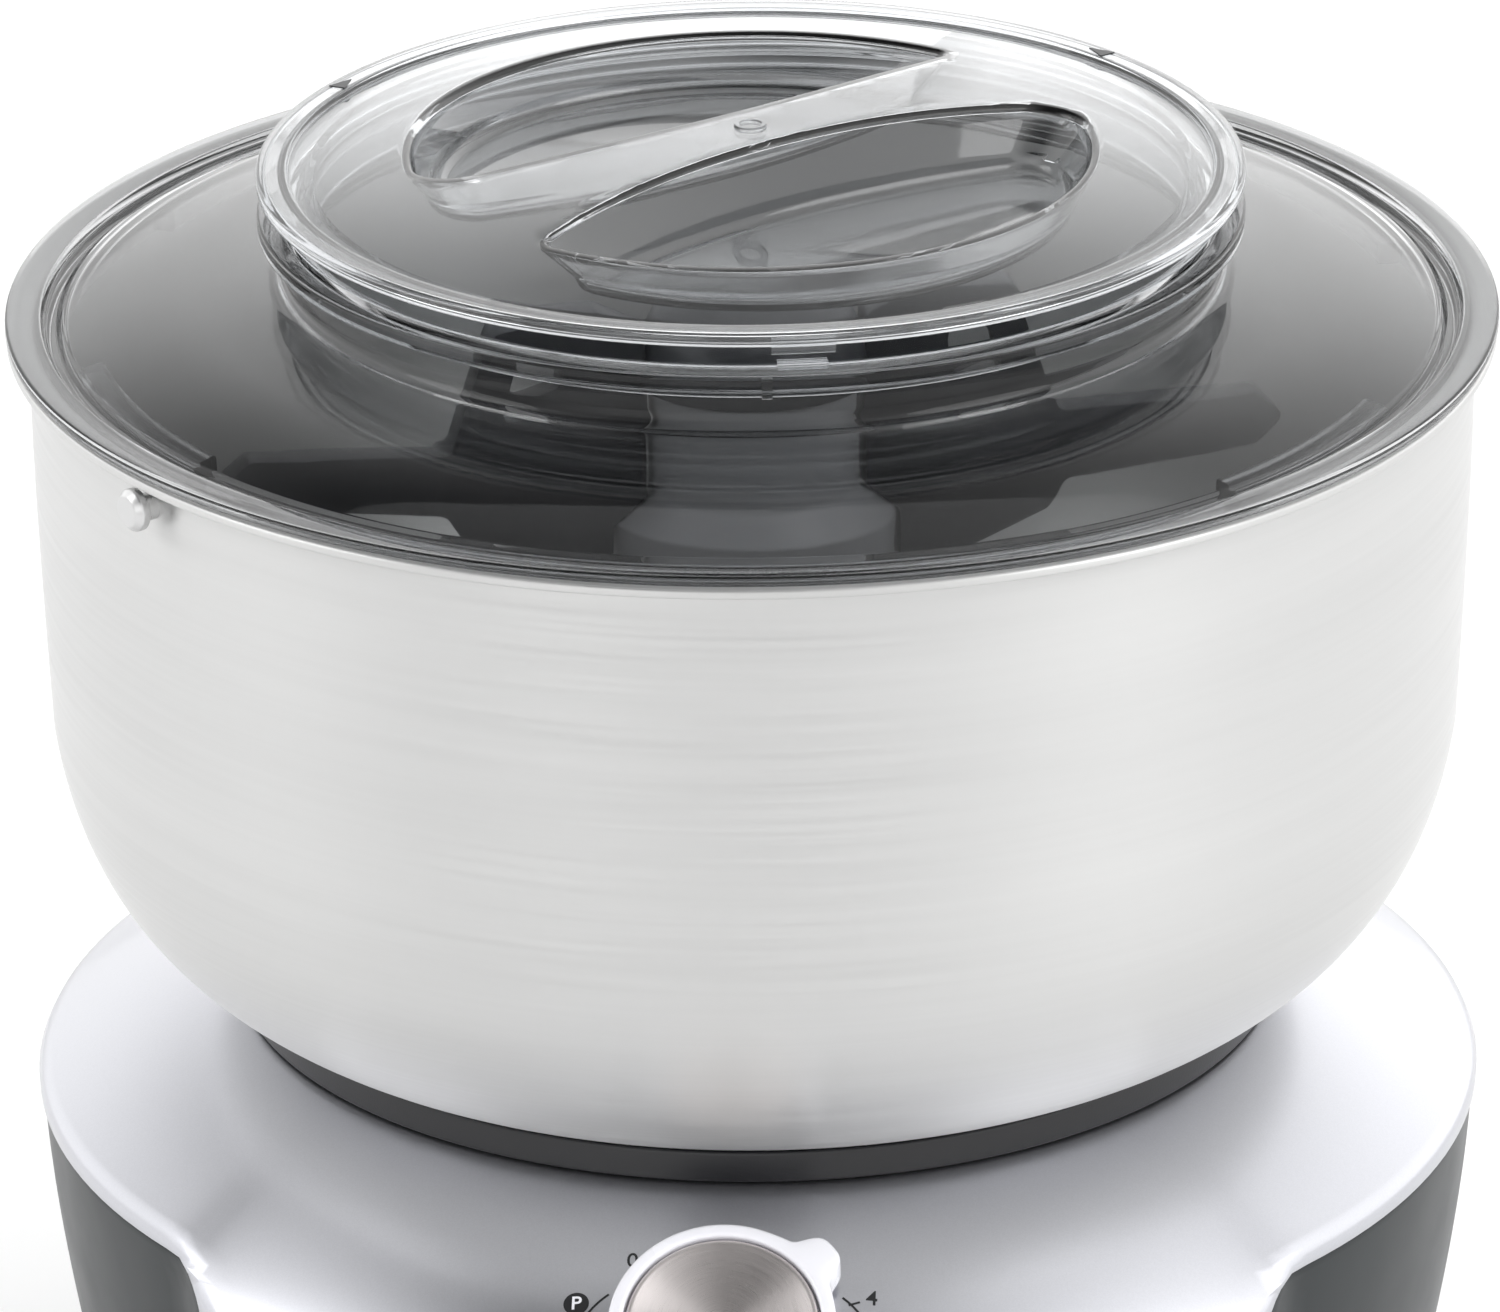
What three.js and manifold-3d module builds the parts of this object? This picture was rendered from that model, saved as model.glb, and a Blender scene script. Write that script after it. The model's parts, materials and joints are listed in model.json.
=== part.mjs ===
// A bottom-drive kitchen machine: round motor base, steel bowl, clear splash lid with a filler cap,
// and a two-armed mixing tool. Millimetres, +Z up, the front (dial) side faces -Y.
// The origin is on the table, under the middle of the object's footprint.
import * as THREE from 'three';
import { mergeVertices } from 'three/addons/utils/BufferGeometryUtils.js';
import Module from 'manifold-3d';

const wasm = await Module();
wasm.setup();

// ---------------------------------------------------------------- driving dimensions
const AXIS_Y = 11;              // the drive axis stands this far behind the middle of the footprint
const GAP = 0.3;                // room between pieces that touch
const WALL = 2.8;               // moulded shell thickness

const DECK_Z = 147;             // flat ring of the deck that the bowl stands on
const DECK_R = 100;             // outer radius of that flat ring
const SEAT_R = 84;              // edge of the sunken middle of the deck
const SEAT_Z = 142;             // level of the sunken middle
const EDGE_R = 139;             // outer radius of the deck
const EDGE_Z = 130.2;           // level of the deck's outer edge
const LIP_H = 3.2;              // depth of the deck's edge above the side panels
const SIDE_BOTTOM_R = 116;      // side panel radius at the bottom edge
const BASE_BOTTOM_Z = 9;        // bottom edge of the shells
const NOSE_R = 112;             // plan radius of the front apron
const NOSE_Y = -50;             // its centre, in front of the drive axis
const NOSE_SHOULDER_Z = 95;     // where the apron's slope turns vertical
const NOSE_TAPER = 10;          // how far the apron leans back in at the bottom
const APRON_HALF = 98;          // half width of the apron between the side panels
const APRON_CORNER = 10;        // rounding where the apron meets the deck's edge

const DIAL_Y = -133;            // centre of the dial, from the drive axis
const DIAL_Z = 130.6;
const DIAL_TILT = 35;           // degrees from horizontal
const DIAL_R = 20.8;
const DISC_R = 17.6;

const LID_R = 140;              // lid rim and bowl lip radius
const LID_Z = 283.6;            // top of the lid's rim
const BOWL_R = 135.7;           // outer radius of the bowl under its lip
const BOWL_T = 1.6;
const BOWL_LOW_R = 133.6;       // bowl radius where the wall starts to turn in
const BOWL_LOW_Z = 203;
const BOWL_FLOOR_R = 72;
const BOWL_FLOOR_Z = 148;
const FOOT_R = 100.4;
const FOOT_H = 7.5;

const COLLAR_R = 92.4;          // collar around the filling hole, and cap rim
const COLLAR_Z = LID_Z + 19;    // top of the collar
const COLLAR_H = 3.1;           // depth of the collar's edge
const NECK_R = 84.6;            // inner radius of the filling hole
const LID_T = 2;
const LID_TURN = 2.9;           // how far the lid, its cap and its studs stand turned from the front
const CAP_RIM_Z = LID_Z + 27.2;
const CAP_RIM_H = 2.2;
const CAP_EDGE_Z = CAP_RIM_Z - 1;   // where the domed middle of the cap meets its raised rim
const CAP_EDGE_R = 86;
const CAP_CROWN = 7.4;          // rise of the cap from that edge to its middle
const CAP_CROWN_POWER = 2.3;    // how flat the dome is in the middle
const WELL_R = 64.7;            // outer arc of each finger well
const WELL_ARC_R = 195.5;       // inner arc of each finger well
const WELL_ARC_X = -119.7;      // centre of that arc
const WELL_ARC_Y = 164.4;
const WELL_TIP_ROUND = 10;      // radius of a well's blunt tip
const WELL_TIP_SHARP = 4;       // radius of its pointed tip
const WELL_FLOOR_Z = LID_Z + 20;
const WELL_DRAFT = 0.9;         // size of a well's floor against its mouth
const WELL_MIDDLE_X = -25;      // the point it is drawn in to
const WELL_MIDDLE_Y = 33;
const STUD_ANGLE = 36.9;        // from +X, before the lid's turn
const STUD_Z = LID_Z - 8.7;

const POST_R = 15;              // post in the middle of the bowl
const POST_TOP_Z = 236;
const SLEEVE_R = 19.8;          // tool sleeve that covers the post
const SLEEVE_LOW_R = 27;        // and its wide lower part
const SLEEVE_STEP_Z = 238;
const SLEEVE_TOP_Z = LID_Z - 18.3;
const ARM_TURN = 14;            // direction of the right arm, from +X
const ARM_T = 7;                // thickness of the arms' plates
const SPINDLE_R = 6;
const MOTOR_X = -62;            // motor axis, from the drive axis
const MOTOR_Y = 30;
const PULLEY_R = 50;
const MOTOR_PULLEY_R = 11;
const PULLEY_Z = 92;
const PULLEY_H = 14;
const CHASSIS_Z = 84;
const CHASSIS_T = 4;
const STANDOFF_R = 84;          // pitch radius of the standoffs, pan screws and feet
const STANDOFF_ANGLES = [35, 105, 215, 325];
const SCREW_HEAD_H = 2.4;
const GLAND_Z = 34;             // height of the cord's way out at the back
const MOTOR_ANGLE = Math.atan2(MOTOR_Y, MOTOR_X);

// ---------------------------------------------------------------- materials
const material = (color, roughness, metalness, opacity = 1) => new THREE.MeshStandardMaterial({
  color, roughness, metalness, opacity, transparent: opacity < 1,
});
const silver = material(0xd0d0d6, 0.3, 0.7);
const slate = material(0x4a4f52, 0.45, 0);
const black = material(0x141416, 0.5, 0);
const steel = material(0xd6d6d6, 0.25, 1);
const clear = material(0xe4e6e8, 0.08, 0, 0.3);
const dialWhite = material(0xdcdce2, 0.3, 0.3);
const spun = material(0x9c9490, 0.35, 1);
const toolGrey = material(0x3a3b3d, 0.45, 0);
const toolLight = material(0xa0a1a4, 0.4, 0);
const zinc = material(0xa8abae, 0.35, 1);
const copper = material(0xa4572f, 0.4, 0.8);
const board = material(0x1f5a34, 0.6, 0);
const rubber = material(0x1a1a1a, 0.85, 0);

// ---------------------------------------------------------------- helpers
const v2 = (x, y) => new THREE.Vector2(x, y);
const rad = THREE.MathUtils.degToRad;

// A lathe turned about +Z from [radius, height] points.
function lathe(points, segments = 32) {
  const geometry = new THREE.LatheGeometry(points.map(([r, z]) => v2(r, z)), segments);
  return geometry.rotateX(Math.PI / 2);
}

// A ring or tube from z0 to z1 between two radii; inner 0 makes a disc.
function ring(outer, inner, z0, z1, segments = 32) {
  if (inner === 0) {
    return lathe([[0, z0], [outer, z0], [outer, z1], [0, z1]], segments);
  }
  return lathe([[inner, z0], [outer, z0], [outer, z1], [inner, z1], [inner, z0]], segments);
}

function box(x, y, z, cx, cy, cz) {
  return new THREE.BoxGeometry(x, y, z).translate(cx, cy, cz);
}

// A flat outline pulled up from z0 to z1.
function prism(shape, z0, z1, curveSegments = 8) {
  const settings = { depth: z1 - z0, bevelEnabled: false, curveSegments };
  return new THREE.ExtrudeGeometry(shape, settings).translate(0, 0, z0);
}

function toSolid(geometry) {
  const bare = geometry.clone();
  bare.deleteAttribute('normal');
  bare.deleteAttribute('uv');
  const merged = mergeVertices(bare, 1e-4);
  const corners = [];
  const index = merged.index.array;
  for (let i = 0; i < index.length; i += 3) {
    const [a, b, c] = [index[i], index[i + 1], index[i + 2]];
    if (a !== b && b !== c && a !== c) corners.push(a, b, c);
  }
  return new wasm.Manifold(new wasm.Mesh({
    numProp: 3,
    vertProperties: new Float32Array(merged.attributes.position.array),
    triVerts: new Uint32Array(corners),
  }));
}

function toGeometry(solid) {
  const mesh = solid.getMesh();
  const geometry = new THREE.BufferGeometry();
  geometry.setAttribute('position', new THREE.BufferAttribute(mesh.vertProperties, 3));
  geometry.setIndex(new THREE.BufferAttribute(mesh.triVerts, 1));
  return geometry;
}

const join = (...parts) => toGeometry(parts.map(toSolid).reduce((a, b) => a.add(b)));
const cut = (body, ...tools) => toGeometry(tools.map(toSolid).reduce((a, b) => a.subtract(b), toSolid(body)));
const common = (a, b) => toGeometry(toSolid(a).intersect(toSolid(b)));

const model = new THREE.Group();
model.name = 'kitchen_machine';
const machine = new THREE.Group();      // everything is placed from the drive axis
machine.position.y = AXIS_Y;
model.add(machine);

function add(name, geometry, look, parent = machine) {
  const flat = geometry.index ? geometry.toNonIndexed() : geometry.clone();
  flat.deleteAttribute('normal');
  flat.deleteAttribute('uv');
  flat.computeVertexNormals();
  const mesh = new THREE.Mesh(flat, look);
  mesh.name = name;
  parent.add(mesh);
  return mesh;
}

function copies(name, angles, place) {
  angles.forEach((angle, i) => place(`${name}_${i + 1}`, angle));
}

const polar = (r, degrees) => [r * Math.cos(rad(degrees)), r * Math.sin(rad(degrees))];

// ---------------------------------------------------------------- base shells
// Plan radius of the base at its widest, for an angle from straight ahead (-Y).
function planRadius(theta) {
  const away = Math.abs(theta);
  if (away > Math.PI / 2) return EDGE_R;
  const offset = NOSE_Y * Math.sin(away);
  const nose = -NOSE_Y * Math.cos(away) + Math.sqrt(NOSE_R ** 2 - offset ** 2);
  return Math.max(EDGE_R, nose);
}

// Points of the base's outer face for one angle, from the middle of the bottom to the middle of the deck.
function baseProfile(theta, inset) {
  const out = planRadius(theta);
  const nose = (out - EDGE_R) / (NOSE_R - NOSE_Y - EDGE_R);
  const mix = THREE.MathUtils.lerp;
  const shoulderZ = mix(EDGE_Z, NOSE_SHOULDER_Z, nose);
  const curve = new THREE.CubicBezierCurve(
    v2(DECK_R, DECK_Z),
    v2(mix(113, 122, nose), mix(143.8, 141, nose)),
    v2(mix(126, 158, nose), mix(137.7, 118, nose)),
    v2(out, shoulderZ),
  );
  const taper = mix(EDGE_R - SIDE_BOTTOM_R, NOSE_TAPER, Math.sqrt(nose));
  const points = [[0, BASE_BOTTOM_Z]];
  for (const t of [0, 0.3, 0.6, 0.85, 1]) {
    const z = mix(BASE_BOTTOM_Z, shoulderZ - (1 - nose) * LIP_H, t);
    const drop = (shoulderZ - z) / (shoulderZ - BASE_BOTTOM_Z);
    points.push([out - taper * drop ** 1.6, z]);
  }
  for (const t of [0, 0.25, 0.5, 0.75, 1]) {
    const p = curve.getPoint(1 - t);
    points.push([p.x, p.y]);
  }
  points.push([SEAT_R + 2 + 2 * inset, DECK_Z], [SEAT_R + 2 * inset, SEAT_Z], [0, SEAT_Z]);
  return points.map(([r, z], i) => {
    const bottom = i < 2;
    const level = bottom ? z - (inset > 0 ? 5 : 0) : z - inset;
    return [Math.max(0, r - inset), level];
  });
}

// The base's outer body as one closed solid, drawn in by the given inset.
function baseBody(inset, segments = 40) {
  const rows = baseProfile(0, inset).length;
  const blank = Array.from({ length: rows }, (_, j) => v2(j === 0 || j === rows - 1 ? 0 : 1, j));
  const geometry = new THREE.LatheGeometry(blank, segments).rotateX(Math.PI / 2);
  const position = geometry.attributes.position;
  for (let i = 0; i <= segments; i++) {
    const turn = (i % segments) * 2 * Math.PI / segments;
    const theta = turn > Math.PI ? turn - 2 * Math.PI : turn;
    baseProfile(theta, inset).forEach(([r, z], j) => {
      position.setXYZ(i * rows + j, r * Math.sin(theta), -r * Math.cos(theta), z);
    });
  }
  return geometry;
}

// Front view of the region that belongs to the top shell: the deck, and the apron below it.
function topRegion(grow) {
  const half = APRON_HALF + grow;
  const level = EDGE_Z - LIP_H - grow;
  const far = 200;
  const shape = new THREE.Shape();
  shape.moveTo(-far, far);
  shape.lineTo(-far, level);
  shape.lineTo(-half - APRON_CORNER, level);
  shape.absarc(-half - APRON_CORNER, level - APRON_CORNER, APRON_CORNER, Math.PI / 2, 0, true);
  shape.lineTo(-half, -20);
  shape.lineTo(half, -20);
  shape.absarc(half + APRON_CORNER, level - APRON_CORNER, APRON_CORNER, Math.PI, Math.PI / 2, true);
  shape.lineTo(far, level);
  shape.lineTo(far, far);
  const front = prism(shape, 0, far, 4).rotateX(Math.PI / 2);
  const back = box(2 * far, far + 40, far - level, 0, far / 2 - 20, (far + level) / 2);
  return join(front, back);
}

function dialFrame(geometry) {
  return geometry.rotateX(rad(DIAL_TILT)).translate(0, DIAL_Y, DIAL_Z);
}

function buildShells() {
  const shell = cut(baseBody(0), baseBody(WALL));
  const topBody = common(shell, topRegion(0));
  const spindleHole = ring(22.3, 0, 100, 160, 24);
  const dialHole = dialFrame(ring(4, 0, -20, 20, 16));
  add('top_shell', cut(topBody, spindleHole, dialHole), silver);
  const glandHole = ring(8.3, 0, 80, 160, 16).rotateX(-Math.PI / 2).translate(0, 0, GLAND_Z);
  const sideBody = cut(shell, topRegion(GAP), glandHole);
  add('side_shell', sideBody, slate);
}

// ---------------------------------------------------------------- pan, feet and fasteners
function panOutline() {
  const shape = new THREE.Shape();
  const segments = 32;
  for (let i = 0; i < segments; i++) {
    const turn = i * 2 * Math.PI / segments;
    const theta = turn > Math.PI ? turn - 2 * Math.PI : turn;
    const [r] = baseProfile(theta, 0)[1];
    const inside = r - WALL - 3;
    const [x, y] = [inside * Math.sin(theta), -inside * Math.cos(theta)];
    if (i === 0) shape.moveTo(x, y);
    else shape.lineTo(x, y);
  }
  return shape;
}

function buildPan() {
  const plate = prism(panOutline(), 8, 11);
  const cutters = [];
  for (let i = -3; i <= 3; i++) {
    cutters.push(box(5, 56, 10, i * 12, 10, 9));
  }
  for (const angle of STANDOFF_ANGLES) {
    const [x, y] = polar(STANDOFF_R, angle);
    cutters.push(ring(2.4, 0, 5, 15, 8).translate(x, y, 0));
  }
  add('base_pan', cut(plate, ...cutters), black);
}

function screw(name, x, y, headZ, tipZ) {
  const up = tipZ > headZ ? 1 : -1;
  const neckZ = headZ + SCREW_HEAD_H * up;
  const profile = [[0, headZ], [4, headZ], [4, neckZ], [1.9, neckZ], [1.9, tipZ], [0, tipZ]];
  add(name, lathe(up > 0 ? profile : profile.reverse(), 8), zinc).position.set(x, y, 0);
}

function buildFastenings() {
  const chassisTop = CHASSIS_Z + CHASSIS_T;
  copies('standoff', STANDOFF_ANGLES, (name, angle) => {
    const [x, y] = polar(STANDOFF_R, angle);
    add(name, ring(6, 2.3, 11 + GAP, CHASSIS_Z - GAP, 10), zinc).position.set(x, y, 0);
  });
  copies('pan_screw', STANDOFF_ANGLES, (name, angle) => {
    screw(name, ...polar(STANDOFF_R, angle), 5.3, 24);
  });
  copies('chassis_screw', STANDOFF_ANGLES, (name, angle) => {
    screw(name, ...polar(STANDOFF_R, angle), chassisTop + GAP + SCREW_HEAD_H, 70);
  });
  copies('foot', [42, 138, 222, 318], (name, angle) => {
    const [x, y] = polar(98, angle);
    const profile = [[0, 1.6], [7, 1.2], [8.5, 0], [12.5, 0], [10.5, 4], [10, 8 - GAP], [0, 8 - GAP]];
    add(name, lathe(profile, 16), rubber).position.set(x, y, 0);
  });
}

function buildGland() {
  const profile = [[4, -5], [7.6, -5], [7.6, 3], [11, 3], [11, 5], [9.4, 6.6], [4, 6.6], [4, -5]];
  const gland = lathe(profile, 16).rotateX(-Math.PI / 2);
  const wallY = baseProfile(Math.PI, 0)[3][0] - 5;
  add('cord_gland', gland.translate(0, wallY, GLAND_Z), rubber);
}

// ---------------------------------------------------------------- chassis and drive
function buildChassis() {
  const plate = ring(95, 0, CHASSIS_Z, CHASSIS_Z + CHASSIS_T, 32);
  const bearingSeat = ring(19, 0, CHASSIS_Z - 16, CHASSIS_Z + 2, 20);
  const holes = [ring(13.3, 0, CHASSIS_Z - 20, CHASSIS_Z + 8, 20)];
  holes.push(ring(6, 0, CHASSIS_Z - 5, CHASSIS_Z + 8, 16).translate(MOTOR_X, MOTOR_Y, 0));
  holes.push(box(200, 60, 20, 0, -105, CHASSIS_Z));
  for (const angle of STANDOFF_ANGLES) {
    const [x, y] = polar(STANDOFF_R, angle);
    holes.push(ring(2.3, 0, CHASSIS_Z - 2, CHASSIS_Z + 8, 8).translate(x, y, 0));
  }
  const ear = (angle) => {
    const [x, y] = polar(STANDOFF_R, angle);
    return ring(9, 0, CHASSIS_Z, CHASSIS_Z + CHASSIS_T, 16).translate(x, y, 0);
  };
  add('chassis_plate', cut(join(plate, bearingSeat, ...STANDOFF_ANGLES.map(ear)), ...holes), zinc);

  const profile = [[13.3, 113], [16.5, 113], [16.5, 134], [36, 136], [36, 139], [21.6, 139], [21.6, 146],
    [13.3, 146], [13.3, 113]];
  add('spindle_housing', lathe(profile, 24), black);
  add('spindle_bearing_lower', ring(13, SPINDLE_R + 0.35, 70, 80, 24), steel);
  add('spindle_bearing_upper', ring(13, SPINDLE_R + 0.35, 116, 126, 24), steel);
  add('shaft_seal', ring(13, SPINDLE_R + 0.5, 140, 144, 24), rubber);
}

function buildMainDrive() {
  const spindle = lathe([[0, 66], [SPINDLE_R, 66], [SPINDLE_R, 160], [0, 160]], 24);
  add('drive_spindle', spindle, steel);
  const z0 = PULLEY_Z;
  const z1 = PULLEY_Z + PULLEY_H;
  const bore = SPINDLE_R + GAP;
  const rim = [[bore, z0 - 1], [14, z0 - 1], [14, z0 + 4], [PULLEY_R - 6, z0 + 4], [PULLEY_R, z0],
    [PULLEY_R, z1], [PULLEY_R - 6, z0 + 8], [14, z0 + 8], [14, z1 + 4], [bore, z1 + 4], [bore, z0 - 1]];
  add('drive_pulley', lathe(rim, 28), black);

  const head = new THREE.Shape();
  for (let i = 0; i < 6; i++) {
    const [x, y] = polar(12, 60 * i);
    if (i === 0) head.moveTo(x, y);
    else head.lineTo(x, y);
  }
  const bossHole = new THREE.Path();
  bossHole.absarc(0, 0, bore, 0, 2 * Math.PI);
  head.holes.push(bossHole);
  add('drive_coupling', prism(head, 148, 159, 12), zinc);
}

function buildMotor() {
  const motor = new THREE.Group();
  motor.position.set(MOTOR_X, MOTOR_Y, 0);
  machine.add(motor);
  const top = CHASSIS_Z - GAP;
  const frame = [[7.3, 20], [36, 20], [36, top - 3.5], [33.5, top - 3.5], [33.5, 23], [10, 23], [10, 27],
    [7.3, 27], [7.3, 20]];
  add('motor_frame', lathe(frame, 32), zinc, motor);
  add('motor_stator', ring(33.2, 22.5, 38, 62, 32), steel, motor);
  add('motor_bearing_lower', ring(7, 4.35, 21, 26.5, 16), steel, motor);
  add('motor_end_plate', ring(36, 7.3, top - 3.2, top, 32), zinc, motor);
  add('motor_bearing_upper', ring(7, 4.35, top - 3, top - 0.2, 16), steel, motor);
  add('brush_left', box(16, 5, 5, -18.5, 0, 70), copper, motor);
  add('brush_right', box(16, 5, 5, 18.5, 0, 70), copper, motor);

  add('rotor_shaft', ring(4, 0, 21, PULLEY_Z + PULLEY_H, 16), steel, motor);
  add('armature', ring(21.5, 4.3, 37, 63, 24), copper, motor);
  add('commutator', ring(10, 4.3, 65, 76, 16), copper, motor);
  const blades = [ring(8, 4.3, 28, 34, 16)];
  for (let i = 0; i < 8; i++) {
    blades.push(box(23, 1.6, 6, 18, 0, 31).rotateZ(i * Math.PI / 4));
  }
  add('cooling_fan', cut(join(...blades), ring(4.3, 0, 20, 40, 16)), black, motor);
  add('motor_pulley', ring(MOTOR_PULLEY_R, 4.3, PULLEY_Z, PULLEY_Z + PULLEY_H - 1, 20), zinc, motor);
}

// The belt's outline: two arcs joined by the common tangents of the two pulleys.
function beltLoop(extra) {
  const distance = Math.hypot(MOTOR_X, MOTOR_Y);
  const big = PULLEY_R + extra;
  const small = MOTOR_PULLEY_R + extra;
  const lean = Math.acos((PULLEY_R - MOTOR_PULLEY_R) / distance);
  const points = [];
  const arc = (cx, cy, r, from, to, steps) => {
    for (let i = 0; i <= steps; i++) {
      const a = from + (to - from) * i / steps;
      points.push(v2(cx + r * Math.cos(a), cy + r * Math.sin(a)));
    }
  };
  arc(0, 0, big, MOTOR_ANGLE + lean, MOTOR_ANGLE + 2 * Math.PI - lean, 28);
  arc(MOTOR_X, MOTOR_Y, small, MOTOR_ANGLE - lean, MOTOR_ANGLE + lean, 8);
  return points;
}

function buildBelt() {
  const outline = new THREE.Shape(beltLoop(2.6));
  outline.holes.push(new THREE.Path(beltLoop(0.5)));
  add('drive_belt', prism(outline, PULLEY_Z + 1.5, PULLEY_Z + PULLEY_H - 2.5), rubber);
}

// ---------------------------------------------------------------- dial and electronics
function buildControls() {
  const controls = new THREE.Group();
  controls.position.set(0, DIAL_Y, DIAL_Z);
  controls.rotation.x = rad(DIAL_TILT);
  machine.add(controls);

  const cup = [[3.3, 1.2], [DIAL_R, 1.2], [DIAL_R, 6.5], [DIAL_R - 1.4, 8.2], [DISC_R + GAP, 8.2],
    [DISC_R + GAP, 4.6], [3.3, 4.6], [3.3, 1.2]];
  const nub = ring(4.2, 0, 2, 8.8, 16).translate(...polar(DIAL_R + 0.4, 40), 0);
  const core = ring(DISC_R + 1, 0, 0, 12, 32);
  add('dial_ring', join(lathe(cup, 32), cut(nub, core)), dialWhite, controls);
  add('dial_disc', ring(DISC_R, 0, 4.9, 7.4, 32), spun, controls);
  add('dial_shaft', ring(3, 0, -20, 4.6, 16), steel, controls);

  const body = [[3.5, -23], [12, -23], [12, -9], [6.5, -9], [6.5, -5.2], [3.5, -5.2], [3.5, -23]];
  add('speed_switch', lathe(body, 20), black, controls);
  add('switch_nut', ring(9, 7.6, -8.6, -6.2, 6), zinc, controls);
  add('control_board', box(64, 44, 1.6, 0, -8, -24.4), board, controls);
  add('board_capacitor', ring(7, 0, -45, -25.5, 16).translate(20, -14, 0), slate, controls);
  add('board_heatsink', box(12, 26, 16, -20, -8, -33.8), zinc, controls);
}

// ---------------------------------------------------------------- bowl
// The bowl's outer face, from the floor up to the lip, as [radius, height] points.
function bowlOuter(steps) {
  const points = [];
  const turn = new THREE.CubicBezierCurve(
    v2(BOWL_FLOOR_R, BOWL_FLOOR_Z),
    v2(107, BOWL_FLOOR_Z + 1),
    v2(129, 168),
    v2(BOWL_LOW_R, BOWL_LOW_Z),
  );
  for (let i = 0; i <= steps; i++) {
    const p = turn.getPoint(i / steps);
    points.push([p.x, p.y]);
  }
  points.push([BOWL_R, LID_Z - 5]);
  return points;
}

function buildBowl() {
  const outer = bowlOuter(6);
  const lipTop = LID_Z - 2;
  const lip = [[LID_R, lipTop - 2.2], [LID_R, lipTop - 0.4], [BOWL_R - BOWL_T, lipTop - 0.4]];
  const wallHeight = 140;
  const inner = outer.map(([r, z]) => [r - BOWL_T, z + BOWL_T * (1 - (z - BOWL_FLOOR_Z) / wallHeight)]);
  inner.reverse();
  inner.shift();
  const hub = 19.3;
  const floorTop = BOWL_FLOOR_Z + BOWL_T;
  const profile = [[hub, BOWL_FLOOR_Z], ...outer, ...lip, ...inner, [hub, floorTop], [hub, BOWL_FLOOR_Z]];
  add('bowl_shell', lathe(profile, 40), steel);

  const rise = DECK_Z + FOOT_H;
  const foot = [[64, BOWL_FLOOR_Z - GAP], [64, DECK_Z - 2.5], [SEAT_R - 2, DECK_Z - 2.5],
    [SEAT_R - 1, DECK_Z + GAP], [FOOT_R, DECK_Z + GAP], [FOOT_R - 0.6, rise - 1.1], [94, rise - 3.3],
    [86, rise - 5.5], [74, BOWL_FLOOR_Z - GAP], [64, BOWL_FLOOR_Z - GAP]];
  add('bowl_foot', lathe(foot, 36), black);

  const neck = POST_R - 7.2;
  const base = BOWL_FLOOR_Z;
  const post = [[13.8, base - 1], [18.9, base - 1], [18.9, base + 4], [POST_R + 1, base + 8], [POST_R, 170],
    [13.6, POST_TOP_Z - 8], [neck + 2, POST_TOP_Z], [neck, POST_TOP_Z], [neck, 168], [13.8, 166],
    [13.8, base - 1]];
  add('bowl_post', lathe(post, 20), black);

  for (const [name, angle] of [['lid_stud_left', 180 + STUD_ANGLE], ['lid_stud_right', STUD_ANGLE]]) {
    const stud = lathe([[0, 0], [3, 0], [3, 3.2], [4, 3.4], [4, 5], [2.6, 6.4], [0, 6.4]], 12);
    stud.rotateY(Math.PI / 2).translate(BOWL_R - 0.1, 0, STUD_Z).rotateZ(rad(angle + LID_TURN));
    add(name, stud, steel);
  }
}

// ---------------------------------------------------------------- mixing tool
// One flat arm: a tall blade by the hub with a window, and a narrower bar out towards the bowl's wall.
function arm(direction) {
  const outline = [[12, -4], [30, -0.5], [50, -1], [58, -26], [97, -27], [103, -33], [98, -39.5], [60, -42],
    [57, -50], [42, -60], [29, -72], [12, -72]];
  const window = [[38, -16], [49, -22], [45, -7], [36, -7]];
  const shape = new THREE.Shape(outline.map(([r, z]) => v2(r, z)));
  shape.holes.push(new THREE.Path(window.map(([r, z]) => v2(r, z))));
  const plate = prism(shape, -ARM_T / 2, ARM_T / 2).rotateX(Math.PI / 2);
  return plate.translate(0, 0, LID_Z).rotateZ(rad(direction));
}

function buildTool() {
  const z = LID_Z;
  const hub = [[6, z - 18], [21.5, z - 18], [22, z - 12], [19, z - 3], [10, z], [0, z], [0, z - 11.5],
    [6, z - 11.5], [6, z - 18]];
  const room = lathe([[0, 200], [SLEEVE_LOW_R + GAP, 200], [SLEEVE_LOW_R + GAP, SLEEVE_STEP_Z + GAP],
    [SLEEVE_R + GAP, SLEEVE_STEP_Z + 8], [SLEEVE_R + GAP, z - 18], [0, z - 18]], 32);
  const seat = ring(6, 0, 200, z - 11.5, 24);
  const arms = [ARM_TURN, ARM_TURN + 180].map((turn) => cut(arm(turn), room, seat));
  add('mixing_tool', join(lathe(hub, 24), ...arms), toolGrey);

  const bore = POST_R + 1.6;
  const ceiling = POST_TOP_Z + 2.5;
  const sleeve = [[bore, 178], [24, 178], [SLEEVE_LOW_R, 222], [SLEEVE_LOW_R, SLEEVE_STEP_Z],
    [SLEEVE_R, SLEEVE_STEP_Z + 8], [SLEEVE_R, SLEEVE_TOP_Z], [6, SLEEVE_TOP_Z], [6, ceiling],
    [bore - 1.5, ceiling], [bore - 1, 228], [bore, 178]];
  add('tool_sleeve', lathe(sleeve, 32), toolLight);

  const head = new THREE.Shape();
  head.absarc(0, 0, 13.2, 0, 2 * Math.PI);
  const socket = new THREE.Path();
  for (let i = 0; i < 6; i++) {
    const [x, y] = polar(12.45, -60 * i);
    if (i === 0) socket.moveTo(x, y);
    else socket.lineTo(x, y);
  }
  head.holes.push(socket);
  const skirt = prism(head, 149, 161, 12);
  const web = ring(13.2, 0, 160.5, 164, 24);
  const shaft = ring(5.4, 0, 162, z - 12, 24);
  add('tool_shaft', join(skirt, web, shaft), steel);
}

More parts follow.
